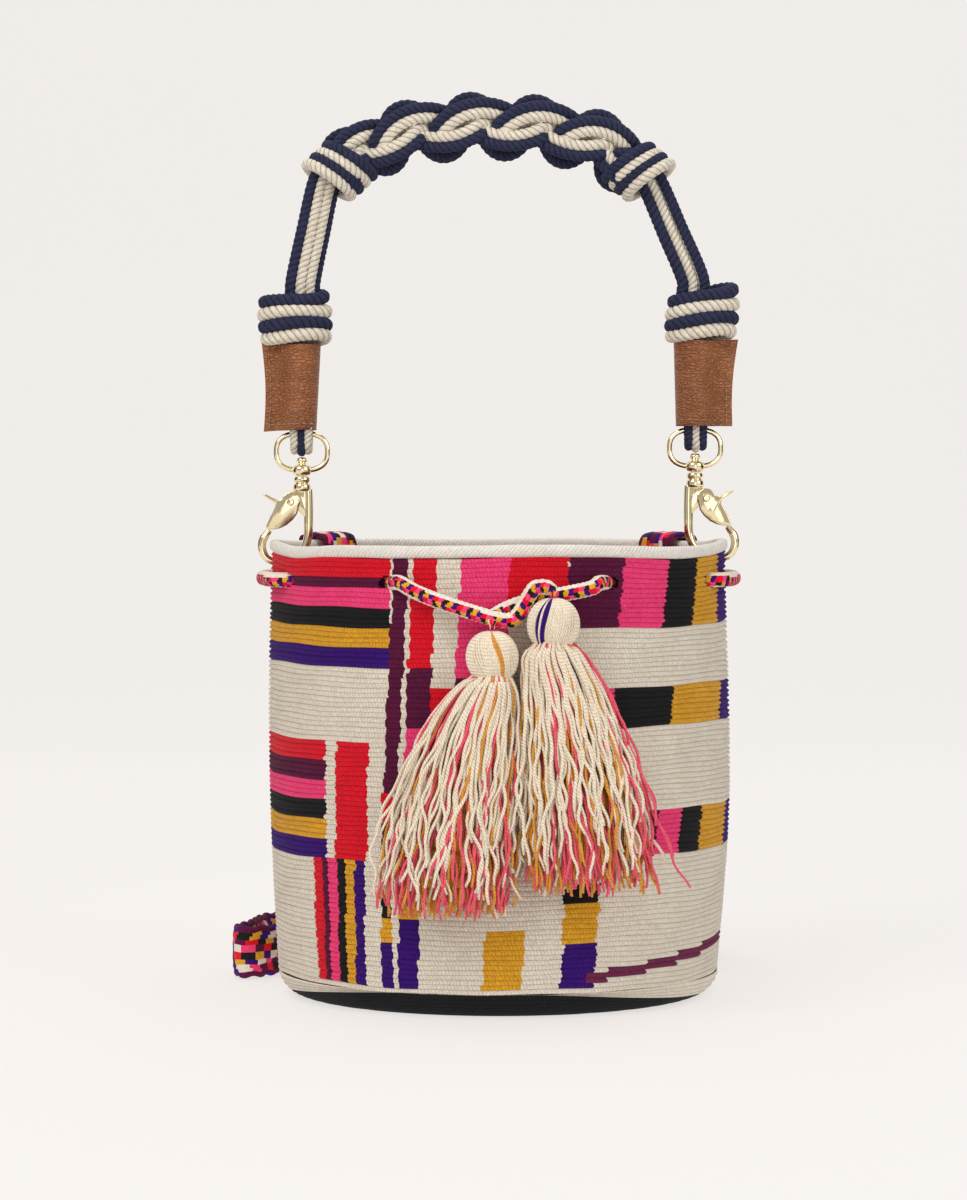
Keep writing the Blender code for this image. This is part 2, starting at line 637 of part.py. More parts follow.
def leg(side, sign, low, pivot):
    # Four cords side by side from the knot to the knotted stretch
    near, far = (ARCH[0], ARCH[1]) if sign < 0 else (ARCH[-1], ARCH[-2])
    meet = Vector((near[0], 0, BAG_HEIGHT + near[1]))
    way = (Vector((far[0], 0, BAG_HEIGHT + far[1])) - meet).normalized()
    end = meet - way * 2 * GAP
    start = Vector((sign * (RING_X + 0.0005), 0, low))
    middle = (start + end) / 2 + Vector((sign * 0.0030, 0, 0.0010))
    line = smooth([start, start + Vector((0, 0, 0.006)), middle, end - way * 0.009, end - way * 0.004, end], 0.0065)
    for number in range(4):
        shift = (number - 1.5) * LEG_SPACING
        points = []
        for k, point in enumerate(line):
            along = (line[min(k + 1, len(line) - 1)] - line[max(k - 1, 0)]).normalized()
            if k == 0:
                along = Vector((0, 0, 1))
            if k == len(line) - 1:
                along = way
            side_way = Vector((along.z, 0, -along.x))
            points.append(point + side_way * shift)
        look = "cream" if number in (1, 2) else "navy"
        place(tube(f"{side}_leg_cord_{number + 1}", points, LEG_CORD), look, pivot)


def plait(pivot):
    line = smooth([(x, 0, BAG_HEIGHT + up) for x, up in ARCH], 1.1 * PLAIT_RADIUS)
    count = len(line)
    hold = 2
    for strand in range(3):
        points = []
        for k, point in enumerate(line):
            along = (line[min(k + 1, count - 1)] - line[max(k - 1, 0)]).normalized()
            side_way = Vector((along.z, 0, -along.x))
            share = min(max((k - hold) / (count - 1 - 2 * hold), 0), 1)
            a = 2 * math.pi * (PLAIT_TURNS * share + strand / 3)
            points.append(point + side_way * PLAIT_SWING * math.sin(a)
                          + Vector((0, PLAIT_DEPTH * math.sin(2 * a), 0)))
        place(tube(f"plait_strand_{strand + 1}", points, PLAIT_RADIUS), ("navy", "cream", "navy")[strand], pivot)


def strap():
    # A woven band over the back rim on both sides, standing on its edge behind the bag
    over = BAG_HEIGHT + STRAP_THICKNESS / 2 + GAP
    near = RIM_RADIUS - WALL - STRAP_THICKNESS / 2 - GAP - 0.0014
    far = RIM_RADIUS + RIM_BULGE + STRAP_THICKNESS / 2 + GAP + 0.0016
    edge_z = STRAP_WIDTH / 2 + GAP
    left = 180 + STRAP_ANGLE
    right = 180 - STRAP_ANGLE

    def fall(angle):
        inside_end = LACE_HEIGHT + CORD_RADIUS + CORD_CLEARANCE + 0.0024
        return [(on_bag(angle, near, inside_end), 0), (on_bag(angle, near - 0.0004, BAG_HEIGHT - 0.001), 0),
                (on_bag(angle, near + 0.0022, over + 0.0020), 0), (on_bag(angle, far - 0.0022, over + 0.0020), 0),
                (on_bag(angle, far + 0.0004, BAG_HEIGHT - 0.002), 0), (on_bag(angle, far + 0.001, BAG_HEIGHT - 0.021), 0),
                (on_bag(angle, far + 0.003, 0.62 * BAG_HEIGHT), 0), (on_bag(angle, far + 0.006, 0.39 * BAG_HEIGHT), 0.1)]

    floor = [((-0.0930, 0.0800, 0.040), 0.6), ((-0.1080, 0.0740, edge_z), 1), ((-0.1180, 0.0800, edge_z), 1),
             ((-0.1120, 0.0960, edge_z), 1), ((-0.0800, 0.1060, edge_z), 1), ((-0.0300, 0.1140, edge_z), 1),
             ((0.0300, 0.1180, edge_z), 1), ((0.0640, 0.1260, edge_z), 1), ((0.0760, 0.1440, edge_z), 1),
             ((0.0600, 0.1600, edge_z), 1), ((0.0200, 0.1600, edge_z), 1), ((-0.0400, 0.1540, edge_z), 1),
             ((-0.0800, 0.1640, edge_z), 1), ((-0.0840, 0.1880, edge_z), 1), ((-0.0400, 0.2020, edge_z), 1),
             ((0.0300, 0.2040, edge_z), 1), ((0.0780, 0.1900, edge_z), 1), ((0.0960, 0.1560, edge_z), 1),
             ((0.0980, 0.1200, 0.024), 0.9), ((0.0940, 0.0930, 0.050), 0.5)]
    route = fall(left) + floor + list(reversed(fall(right)))
    place(band("shoulder_strap", smooth([(*p, e) for p, e in route], 0.625 * STRAP_WIDTH)), "strap")


def band(name, line):
    # Rounded flat sections, turned from lying round the wall to standing on the floor
    half = STRAP_WIDTH / 2
    thick = STRAP_THICKNESS / 2
    section = [(half, thick * 0.45), (half * 0.82, thick), (-half * 0.82, thick), (-half, thick * 0.45),
               (-half, -thick * 0.45), (-half * 0.82, -thick), (half * 0.82, -thick), (half, -thick * 0.45)]
    verts = []
    for k, knot in enumerate(line):
        point = knot.to_3d()
        along = (line[min(k + 1, len(line) - 1)].to_3d() - line[max(k - 1, 0)].to_3d()).normalized()
        share = min(max(knot[3], 0), 1)
        outward = Vector((point.x, point.y, 0)).normalized()
        tangent = Vector((-outward.y, outward.x, 0)) * (1 if point.x < 0 else -1)
        wide = tangent * (1 - share) + Vector((0, 0, 1)) * share
        wide = (wide - along * wide.dot(along)).normalized()
        face = along.cross(wide)
        point.z = max(point.z, GAP + half * abs(wide.z) + thick * abs(face.z))
        verts += [point + wide * a + face * b for a, b in section]
    count = len(section)
    faces = []
    for k in range(len(line) - 1):
        for j in range(count):
            a, b = k * count + j, k * count + (j + 1) % count
            faces.append((a, b, b + count, a + count))
    faces.append(tuple(reversed(range(count))))
    faces.append(tuple(range((len(line) - 1) * count, len(line) * count)))
    item = mesh_object(name, verts, faces)
    work = bmesh.new()
    work.from_mesh(item.data)
    bmesh.ops.recalc_face_normals(work, faces=work.faces)
    work.to_mesh(item.data)
    work.free()
    return item


def build():
    bag_body()
    drawstring()
    strap()
    for side in TASSELS:
        tassel(side)
    eyelets = {side: RING_Z[side] - HOOK_DROP for side in RING_Z}
    rings = empty("rings_pivot", (0, 0, (eyelets["left"] + eyelets["right"]) / 2))
    for side, sign in (("left", -1), ("right", 1)):
        clasp(side, sign, rings)
    bar = RING_HALF_HEIGHT - RING_WIRE
    fold = empty("handle_pivot", (0, 0, (RING_Z["left"] + RING_Z["right"]) / 2 + bar), rings)
    handle(fold)


build()
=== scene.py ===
import math
import random

import bpy
import numpy as np
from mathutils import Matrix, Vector, noise


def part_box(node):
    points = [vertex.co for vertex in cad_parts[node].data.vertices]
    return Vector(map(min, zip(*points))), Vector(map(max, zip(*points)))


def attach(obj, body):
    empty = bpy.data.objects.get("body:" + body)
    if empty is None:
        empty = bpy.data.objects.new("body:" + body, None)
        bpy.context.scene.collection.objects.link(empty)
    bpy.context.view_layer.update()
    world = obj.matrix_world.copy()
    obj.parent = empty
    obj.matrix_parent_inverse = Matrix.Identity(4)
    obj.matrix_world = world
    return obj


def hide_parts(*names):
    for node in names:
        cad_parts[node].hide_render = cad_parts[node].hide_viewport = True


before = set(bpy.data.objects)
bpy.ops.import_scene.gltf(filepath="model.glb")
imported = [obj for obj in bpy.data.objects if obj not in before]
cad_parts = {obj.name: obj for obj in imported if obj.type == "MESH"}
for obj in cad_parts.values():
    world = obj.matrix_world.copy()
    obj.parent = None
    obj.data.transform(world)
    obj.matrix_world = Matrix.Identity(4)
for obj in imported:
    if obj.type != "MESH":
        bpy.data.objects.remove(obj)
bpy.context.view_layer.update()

# Crocheted bucket bag: the wall and rim, the laced cord with its tassels, the rope handle, the clasps and the strap

bag = {"height": 0.198, "rimRadius": 0.100, "bellyRadius": 0.1015, "footRadius": 0.097, "corner": 0.011,
       "wall": 0.004, "rimLow": 0.190, "rimBand": 0.0056}
lacing = {"radius": 0.0030, "clearance": 0.0006, "height": 0.182, "angles": (27, 65, 105, 146), "lean": 3.6}
gap = 0.0003
bodyOf = {"left": "left_tassel", "right": "right_tassel"}


def addObject(name, data):
    item = bpy.data.objects.new(name, data)
    bpy.context.scene.collection.objects.link(item)
    return item


def placeCamera(lens=115.8, distance=1.7, height=0.224, aside=-0.0066, tilt=-1.75):
    data = bpy.data.cameras.new("camera")
    data.sensor_fit = "VERTICAL"
    data.sensor_height = 36
    data.lens = lens
    data.clip_end = 20
    item = addObject("camera", data)
    item.location = (aside, -distance, height)
    item.rotation_euler = (math.radians(90 + tilt), 0, 0)
    bpy.context.scene.camera = item


placeCamera()
print("camera placed")


# Materials: groups for spun yarn, for crochet stitches and for a cord's twist, then gold and leather

def feed(tree, node, inputs):
    # Each input takes a socket, a number, a vector or a colour
    for at, value in inputs.items():
        end = node.inputs[at]
        if isinstance(value, bpy.types.NodeSocket):
            tree.links.new(value, end)
        else:
            end.default_value = (*value, 1) if end.type == "RGBA" else value
    return node


def mixColour(tree, factor, a, b):
    node = tree.nodes.new("ShaderNodeMix")
    node.data_type = "RGBA"
    return feed(tree, node, {0: factor, 6: a, 7: b}).outputs[2]


def maths(tree, kind, a, b=None):
    node = tree.nodes.new("ShaderNodeMath")
    node.operation = kind
    return feed(tree, node, {0: a} if b is None else {0: a, 1: b}).outputs[0]


def times(tree, a, b):
    return maths(tree, "MULTIPLY", a, b)


def plus(tree, a, b):
    return maths(tree, "ADD", a, b)


def vectorMaths(tree, kind, inputs):
    node = tree.nodes.new("ShaderNodeVectorMath")
    node.operation = kind
    return feed(tree, node, inputs).outputs[0]


def ramp(tree, value, low, high, a=0.0, b=1.0):
    return feed(tree, tree.nodes.new("ShaderNodeMapRange"), {0: value, 1: low, 2: high, 3: a, 4: b}).outputs[0]


def noiseNode(tree, vector, scale, detail=3.0, rough=0.6):
    inputs = {"Vector": vector, "Scale": scale, "Detail": detail, "Roughness": rough}
    return feed(tree, tree.nodes.new("ShaderNodeTexNoise"), inputs).outputs[0]


def stretched(tree, vector, scale):
    return feed(tree, tree.nodes.new("ShaderNodeMapping"), {"Vector": vector, "Scale": scale}).outputs[0]


def objectSpace(tree):
    return tree.nodes.new("ShaderNodeTexCoord").outputs["Object"]


def alongMap(tree):
    # The map that addGrid writes: the way along a piece and the share round it
    uv = tree.nodes.new("ShaderNodeUVMap")
    uv.uv_map = "along"
    return feed(tree, tree.nodes.new("ShaderNodeSeparateXYZ"), {0: uv.outputs[0]}).outputs[:2]


def addBump(tree, shader, height, strength, distance):
    bump = feed(tree, tree.nodes.new("ShaderNodeBump"), {"Strength": strength, "Distance": distance, "Height": height})
    feed(tree, shader, {"Normal": bump.outputs[0]})


def newGroup(name, given, made):
    # given holds numbers and colours; made names the outputs
    group = bpy.data.node_groups.new(name, "ShaderNodeTree")
    for label, value in given.items():
        kind = "Color" if isinstance(value, tuple) else "Float"
        end = group.interface.new_socket(name=label, in_out="INPUT", socket_type=f"NodeSocket{kind}")
        end.default_value = (*value, 1) if kind == "Color" else value
    for label in made:
        kind = "Color" if label == "Colour" else "Float"
        group.interface.new_socket(name=label, in_out="OUTPUT", socket_type=f"NodeSocket{kind}")
    return group, group.nodes.new("NodeGroupInput").outputs, group.nodes.new("NodeGroupOutput")


def yarnGroup():
    # Cotton yarn: soft blotches of shade, fine fibres and a few pale hairs
    group, given, out = newGroup("cottonYarn", {"Colour": (0.8, 0.7, 0.6), "Shade": (0.5, 0.4, 0.3), "Hairs": 0.3},
                                 ["Colour", "Roughness", "Height"])
    place = objectSpace(group)
    blotch, grain = noiseNode(group, place, 90), noiseNode(group, place, 700)
    fibre = noiseNode(group, place, 1900, 4, 0.7)
    main, shade = given["Colour"], given["Shade"]
    tint = mixColour(group, ramp(group, blotch, 0.35, 0.7), main, mixColour(group, 0.22, main, shade))
    tint = mixColour(group, ramp(group, grain, 0.62, 0.3, 0.0, 0.55), tint, shade)
    hairs = times(group, ramp(group, fibre, 0.6, 0.75), given["Hairs"])
    feed(group, out, {"Colour": mixColour(group, hairs, tint, (0.85, 0.82, 0.8)),
                      "Roughness": ramp(group, fibre, 0.3, 0.7, 0.8, 0.98),
                      "Height": plus(group, times(group, grain, 0.7), times(group, fibre, 0.3))})
    return group


def stitchGroup():
    # Slanted stitches; the map counts rounds and the way round the bag. The gaps between rows and between stitches make
    # a mask of painted shade
    group, given, out = newGroup("crochetStitch", {"Stitches": 400.0}, ["Height", "GapShade"])
    rounds, around = alongMap(group)
    wobble = noiseNode(group, objectSpace(group), 330, 2)
    level = plus(group, rounds, times(group, maths(group, "SUBTRACT", wobble, 0.5), 0.22))
    share = maths(group, "FRACT", level)
    between = ramp(group, maths(group, "ABSOLUTE", maths(group, "SUBTRACT", share, 0.5)), 0.34, 0.5)
    across = times(group, around, given["Stitches"])
    for value, weight in ((share, 0.55), (maths(group, "FLOOR", level), 0.5), (wobble, 0.7)):
        across = plus(group, across, times(group, value, weight))
    wave = maths(group, "SINE", times(group, across, 2 * math.pi))
    bulge = times(group, ramp(group, wave, -1.0, 0.6, 0.35, 1.0), maths(group, "SUBTRACT", 1.0, between))
    # painted shade between rows and between stitches
    gapShade = maths(group, "MAXIMUM", times(group, between, 0.95), ramp(group, wave, -0.5, -1.0, 0.0, 0.6))
    feed(group, out, {"Height": bulge, "GapShade": gapShade})
    return group


def twistGroup():
    # Ply lines running round a cord; the grooves between plies make a mask of painted shade
    group, given, out = newGroup("cordTwist", {"Plies": 2.0, "Pitch": 0.004}, ["Height", "GapShade"])
    run, around = alongMap(group)
    turns = plus(group, maths(group, "DIVIDE", run, given["Pitch"]), around)
    wave = maths(group, "SINE", times(group, times(group, turns, given["Plies"]), 2 * math.pi))
    feed(group, out, {"Height": ramp(group, wave, -1.0, 0.2), "GapShade": ramp(group, wave, -0.55, -1.0)})
    return group


groups = {"yarn": yarnGroup(), "stitch": stitchGroup(), "twist": twistGroup()}

yarnColours = {  # colour, shade, share of pale hairs
    "cream": ((0.88, 0.80, 0.68), (0.56, 0.46, 0.35), 0.12),
    "red": ((0.86, 0.004, 0.022), (0.45, 0.002, 0.010), 0.01),
    "plum": ((0.125, 0.006, 0.050), (0.045, 0.003, 0.018), 0.01),
    "pink": ((1.0, 0.060, 0.230), (0.62, 0.022, 0.100), 0.02),
    "black": ((0.012, 0.011, 0.012), (0.004, 0.004, 0.005), 0.02),
    "berry": ((0.20, 0.026, 0.085), (0.09, 0.010, 0.036), 0.02),
    "mustard": ((0.84, 0.420, 0.026), (0.42, 0.175, 0.008), 0.03),
    "violet": ((0.048, 0.003, 0.200), (0.016, 0.001, 0.070), 0.01),
    "navy": ((0.030, 0.034, 0.080), (0.009, 0.010, 0.026), 0.10),
    "rope": ((0.84, 0.77, 0.65), (0.46, 0.39, 0.29), 0.15),
    "rim": ((0.87, 0.83, 0.77), (0.60, 0.53, 0.45), 0.12),
    "tassel": ((0.98, 0.87, 0.70), (0.72, 0.58, 0.42), 0.12),
    "coral": ((1.0, 0.150, 0.210), (0.62, 0.050, 0.080), 0.03),
    "amber": ((0.86, 0.400, 0.060), (0.48, 0.190, 0.020), 0.03),
    "hem": ((0.42, 0.27, 0.15), (0.22, 0.12, 0.06), 0.1),
}
yarnForms = {  # group, its values, strength of the painted shade in its gaps
    "stitch": ("stitch", {"Stitches": 400.0}, 0.7), "thread": ("twist", {"Plies": 2.0, "Pitch": 0.0030}, 0.55),
    "rope": ("twist", {"Plies": 8.0, "Pitch": 0.0148}, 0.35), "laid": ("twist", {"Plies": 3.0, "Pitch": -1.0}, 0.7),
}


def startMaterial(name):
    made = bpy.data.materials.new(name)
    made.use_nodes = True
    return made, made.node_tree, made.node_tree.nodes["Principled BSDF"]


def useGroup(tree, key, inputs):
    node = tree.nodes.new("ShaderNodeGroup")
    node.node_tree = groups[key]
    return feed(tree, node, inputs).outputs


def yarnMaterial(colour, form):
    # form is a key of yarnForms, or plain
    name = f"{colour}{form.capitalize()}"
    if name in bpy.data.materials:
        return bpy.data.materials[name]
    main, shade, hairs = yarnColours[colour]
    made, tree, shader = startMaterial(name)
    yarn = useGroup(tree, "yarn", {"Colour": main, "Shade": shade, "Hairs": hairs})
    tint, height = yarn["Colour"], yarn["Height"]
    if form in yarnForms:
        key, values, deep = yarnForms[form]
        detail = useGroup(tree, key, values)
        # The gaps are darkened towards a darker tone of the yarn: painted shade where the stitches and plies part
        tint = mixColour(tree, times(tree, detail["GapShade"], deep), tint, tuple(v * 0.5 for v in shade))
        height = plus(tree, times(tree, detail["Height"], 0.8), times(tree, height, 0.35))
    addBump(tree, shader, height, 0.6, 0.0004)
    feed(tree, shader, {"Base Color": tint, "Roughness": yarn["Roughness"], "Sheen Roughness": 0.5,
                        "Sheen Weight": 0.08 if max(main) > 0.3 else 0.03, "Specular IOR Level": 0.2})
    return made


def goldMaterial():
    made, tree, shader = startMaterial("paleGold")
    place = objectSpace(tree)
    cloud = ramp(tree, noiseNode(tree, place, 120), 0.3, 0.7)
    scratch = noiseNode(tree, stretched(tree, place, (1, 1, 0.12)), 2600, 2)
    # Base colour paler on sharp convex edges
    paleEdge = ramp(tree, tree.nodes.new("ShaderNodeNewGeometry").outputs["Pointiness"], 0.5, 0.56)
    tint = mixColour(tree, cloud, (0.92, 0.80, 0.54), (0.84, 0.70, 0.42))
    feed(tree, shader, {"Base Color": mixColour(tree, times(tree, paleEdge, 0.4), tint, (0.92, 0.84, 0.62)),
                        "Roughness": ramp(tree, scratch, 0.3, 0.75, 0.06, 0.15), "Metallic": 1.0})
    addBump(tree, shader, scratch, 0.05, 0.0001)
    return made


def leatherMaterial():
    # Pebbles with a few longer creases; the grooves between pebbles and the creases are darkened as painted shade
    made, tree, shader = startMaterial("tanLeather")
    place = objectSpace(tree)
    warp = feed(tree, tree.nodes.new("ShaderNodeTexNoise"), {"Vector": place, "Scale": 300}).outputs["Color"]
    small = vectorMaths(tree, "SCALE", {0: warp, 3: 0.0006})
    cells = tree.nodes.new("ShaderNodeTexVoronoi")
    cells.feature = "DISTANCE_TO_EDGE"
    bent = vectorMaths(tree, "ADD", {0: stretched(tree, place, (0.75, 0.9, 1.6)), 1: small})
    feed(tree, cells, {"Vector": bent, "Scale": 520})
    pebble = ramp(tree, cells.outputs[0], 0.0, 0.26)
    crease = noiseNode(tree, stretched(tree, place, (0.6, 0.7, 1.5)), 110, 1)
    fold = ramp(tree, maths(tree, "ABSOLUTE", maths(tree, "SUBTRACT", crease, 0.5)), 0.0, 0.035)
    fine = noiseNode(tree, place, 3000, 2)
    cloud = ramp(tree, noiseNode(tree, place, 60, 4), 0.32, 0.7)
    tint = mixColour(tree, cloud, (0.44, 0.165, 0.062), (0.27, 0.092, 0.034))
    # painted shade in the grooves between the pebbles
    tint = mixColour(tree, ramp(tree, pebble, 0.6, 0.0, 0.0, 0.5), tint, (0.17, 0.055, 0.022))
    # painted shade along the creases
    tint = mixColour(tree, ramp(tree, fold, 0.8, 0.0, 0.0, 0.3), tint, (0.14, 0.045, 0.018))
    feed(tree, shader, {"Base Color": tint, "Roughness": ramp(tree, fine, 0.3, 0.7, 0.26, 0.42),
                        "Specular IOR Level": 0.4})
    height = plus(tree, plus(tree, pebble, times(tree, fold, 0.5)), times(tree, fine, 0.05))
    addBump(tree, shader, height, 0.9, 0.0005)
    return made


gold = goldMaterial()
leather = leatherMaterial()
print("materials made")


# Mesh helpers: grids of rings are gathered in a bundle and become one mesh

def newBundle():
    return {"points": [], "faces": [], "slots": [], "uv": [], "count": 0}


def addGrid(bundle, grid, slots=0, around=True, along=False, caps=False, span=None):
    # grid is rings x sides x 3, slots a number or one for each face
    rings, sides = grid.shape[:2]
    start = bundle["count"]
    bundle["points"].append(grid.reshape(-1, 3))
    bundle["count"] += rings * sides
    rows = np.arange(rings if along else rings - 1)
    cols = np.arange(sides if around else sides - 1)
    r, c = np.meshgrid(rows, cols, indexing="ij")
    nextRow, nextCol = (r + 1) % rings, (c + 1) % sides
    quads = np.stack([r * sides + c, r * sides + nextCol, nextRow * sides + nextCol, nextRow * sides + c], axis=-1) + start
    bundle["faces"] += quads.reshape(-1, 4).tolist()
    slots = np.broadcast_to(np.asarray(slots), r.shape).reshape(-1)
    bundle["slots"] += slots.tolist()
    run = span if span is not None else np.arange(rings + 1) * 0.001
    u0, u1 = run[r], run[np.minimum(r + 1, len(run) - 1)]
    v0, v1 = c / sides, (c + 1) / sides
    bundle["uv"].append(np.stack([u0, v0, u0, v1, u1, v1, u1, v0], axis=-1).reshape(-1, 2))
    if caps:
        for ring, order in ((0, -1), (rings - 1, 1)):
            face = [start + ring * sides + k for k in range(sides)][::order]
            bundle["faces"].append(face)
            bundle["slots"].append(int(slots[0]))
            bundle["uv"].append(np.zeros((sides, 2)))


def finishPiece(name, bundle, looks, body, replaced=()):
    data = bpy.data.meshes.new(name)
    data.from_pydata(np.concatenate(bundle["points"]).tolist(), [], bundle["faces"])
    for look in looks:
        data.materials.append(look)
    data.polygons.foreach_set("material_index", bundle["slots"])
    data.polygons.foreach_set("use_smooth", [True] * len(data.polygons))
    layer = data.uv_layers.new(name="along")
    layer.data.foreach_set("uv", np.concatenate(bundle["uv"]).astype(np.float32).reshape(-1))
    data.update()
    item = addObject(name, data)
    if body == "stage":
        return
    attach(item, body)
    if replaced:
        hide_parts(*replaced)


def curvePoints(points, spacing):
    # Evenly spaced points on a Catmull-Rom curve
    knots = [np.array(p, float) for p in points]
    knots = [2 * knots[0] - knots[1], *knots, 2 * knots[-1] - knots[-2]]
    line = []
    for a, b, c, d in zip(knots, knots[1:], knots[2:], knots[3:]):
        for step in range(24):
            t = step / 24
            line.append(0.5 * (2 * b + (c - a) * t + (2 * a - 5 * b + 4 * c - d) * t * t
                               + (3 * b - a - 3 * c + d) * t ** 3))
    line.append(knots[-2])
    return resample(np.array(line), spacing)


def unit(vectors):
    return vectors / np.maximum(np.linalg.norm(vectors, axis=-1, keepdims=True), 1e-9)


def circle(sides):
    return np.arange(sides) * 2 * np.pi / sides


def resample(line, spacing):
    along = lengths(line[:, :3])
    at = np.linspace(0, along[-1], max(2, round(along[-1] / spacing) + 1))
    return np.stack([np.interp(at, along, column) for column in line.T], axis=1)


def lengths(line):
    return np.concatenate([[0], np.cumsum(np.linalg.norm(np.diff(line, axis=0), axis=1))])


def frames(line, outward=None, closed=False):
    # Tangent, outward and side directions at each point of a path
    tangent = np.roll(line, -1, axis=0) - np.roll(line, 1, axis=0) if closed else np.gradient(line, axis=0)
    tangent = unit(tangent)
    if outward is None:
        last = np.array([0.0, -1.0, 0.0]) if abs(tangent[0][1]) < 0.9 else np.array([1.0, 0.0, 0.0])
        normal = np.empty_like(line)
        for k, t in enumerate(tangent):
            last = unit(last - t * last.dot(t))
            normal[k] = last
    else:
        normal = unit(outward - tangent * (outward * tangent).sum(axis=1, keepdims=True))
    return tangent, normal, np.cross(tangent, normal)


def sections(line, out, normal, beside, side):
    # One section for each point of a path, from its sizes along two directions
    return line[:, None, :] + out[..., None] * normal[:, None, :] + beside[..., None] * side[:, None, :]


def sweep(line, radius, sides, outward=None, closed=False, pitch=None, phase=0.0):
    # A tube along a path; with a pitch its section has the plies of a laid rope, turning along it
    tangent, normal, side = frames(line, outward, closed)
    angle = circle(sides)
    run = lengths(line)
    total = run[-1] + (np.linalg.norm(line[0] - line[-1]) if closed else 0)
    radius = np.broadcast_to(np.asarray(radius, float), (len(line),))
    size = np.ones((len(line), sides))
    span = np.append(run, total)
    if pitch:
        plies = ropeLook["plies"]
        if closed:
            pitch = total / max(1, round(total / pitch))
        turn = 2 * np.pi * run[:, None] / pitch + phase
        lobe = np.abs(np.sin((plies * (angle[None, :] - turn)) / 2))
        size = 1.03 - ropeLook["groove"] * (1 - lobe) ** 1.6
        span = span / pitch + phase / (2 * np.pi) + 0.25 / plies
    size = size * radius[:, None]
    return sections(line, size * np.cos(angle), normal, size * np.sin(angle), side), span


def addSweep(bundle, slot, line, radius, sides, **form):
    grid, span = sweep(line, radius, sides, **form)
    closed = form.get("closed", False)
    addGrid(bundle, grid, slot, along=closed, caps=not closed, span=span)


def onBag(angle, radius, z):
    a = np.radians(angle)
    return np.stack(np.broadcast_arrays(radius * np.sin(a), -radius * np.cos(a), z), axis=-1)


def wallRadius(z):
    middle = (bag["corner"] + bag["rimLow"]) / 2
    share = np.clip((z - middle) / (bag["rimLow"] - middle), -1, 1)
    edge = np.where(share > 0, bag["rimRadius"], bag["footRadius"])
    return edge + (bag["bellyRadius"] - edge) * np.cos(share * np.pi / 2)


def rimWave(angle):
    # The clasps pull the rim up at the sides, and it dips beside them
    a = (angle + 180) % 360 - 180
    up = 0.0016 * np.exp(-((np.abs(a) - 90) / 15) ** 2)
    dip = -0.0015 * np.exp(-((a + 60) / 13) ** 2) - 0.0008 * np.exp(-((a - 52) / 16) ** 2)
    return up + dip + 0.0003 * np.sin(np.radians(a * 5 + 40))


def stack(low, high, rows, yarns):
    return [(low, high, a, b, yarn) for a, b, yarn in zip(rows, rows[1:], yarns)]


def spread(first, last, angles, yarns):
    return [(a, b, first, last, yarn) for a, b, yarn in zip(angles, angles[1:], yarns)]


# The chart of colours: from and to an angle from the front at its middle row, first and last row, yarn
blockYarns = ["red", "plum", "pink", "black", "mustard", "violet"]
chart = [
    *stack(-125, -27.2, (0, 4, 6, 10, 14, 18, 22), blockYarns),
    *stack(-125, -46.9, (37, 41, 45, 49, 53, 57, 61), blockYarns),
    (-43.3, -33.2, 37, 61, "red"),
    (-27.4, -23.6, 0, 47, "plum"), (-29.2, -25.8, 47, 53, "red"), (-29.5, -26.2, 53, 59, "plum"),
    (-29.9, -26.7, 59, 65, "pink"), (-30.1, -27.0, 65, 72, "black"), (-30.3, -27.2, 72, 77, "mustard"),
    (-30.5, -27.3, 77, 86, "violet"),
    (-21.8, -15.8, 0, 22, "red"), (-22.5, -16.5, 22, 34, "plum"), (-23.0, -17.0, 34, 46, "pink"),
    (-23.6, -17.8, 46, 56, "black"), (-24.4, -18.6, 56, 67, "red"), (-25.4, -20.0, 67, 72, "mustard"),
    (-25.7, -20.2, 72, 86, "violet"),
    (-17.0, -11.0, 26, 40, "red"),
    (-9.9, 2.2, 0, 24, "pink"), (-11.0, 1.0, 24, 34, "plum"), (-11.4, 0.6, 34, 42, "black"),
    (2.2, 16.5, 0, 11, "red"),
    *spread(0, 14, (16.5, 31.0, 44.8, 56.4, 70.6, 100), blockYarns[1:]),
    *spread(26, 34, (8.0, 28.1, 46.9, 70.6, 100), blockYarns[2:]),
    *spread(51, 60, (12.0, 34.1, 41.3, 49.9, 59.4, 77.3, 100), blockYarns),
    *spread(61, 86, (-52.4, -48.8, -46.8, -43.6, -41.0, -38.0, -35.0), blockYarns),
    (-3.9, 5.8, 74, 86, "mustard"),
    (15.7, 24.9, 65, 69, "black"), (15.6, 24.8, 69, 77, "mustard"), (15.4, 24.5, 77, 86, "violet"),
]
chartYarns = ["cream", *blockYarns, "berry"]


def chartSlots(angle, row):
    # The yarn of each stitch; the back repeats the front's layout, turned half round
    a = (angle + 180) % 360 - 180
    a = np.where(a > 96, a - 180, np.where(a < -125, a + 180, a))
    found = np.zeros(a.shape, int)
    slope = np.interp(a, [-90, -30, 0, 30, 50, 90], [0.01, 0.02, 0.035, 0.07, 0.10, 0.10])
    for low, high, first, last, yarn in chart:
        shift = slope * (row + 0.5 - (first + min(last, 87)) / 2) * wallLook["row"] * 1000
        shift = np.clip(shift, -3, 3)
        inside = (a + shift >= low) & (a + shift < high) & (row >= first) & (row < last)
        found[inside] = chartYarns.index(yarn)
    seam = 84.5 - np.clip((a - 22) / 51, 0, 1) * 4.3       # a plum line that climbs to the right above the base
    found[(a > 22) & (a < 88) & (row >= np.floor(seam) - 1) & (row < np.floor(seam) + 1)] = chartYarns.index("berry")
    return found


# The wall, worked in rounds of slanted stitches

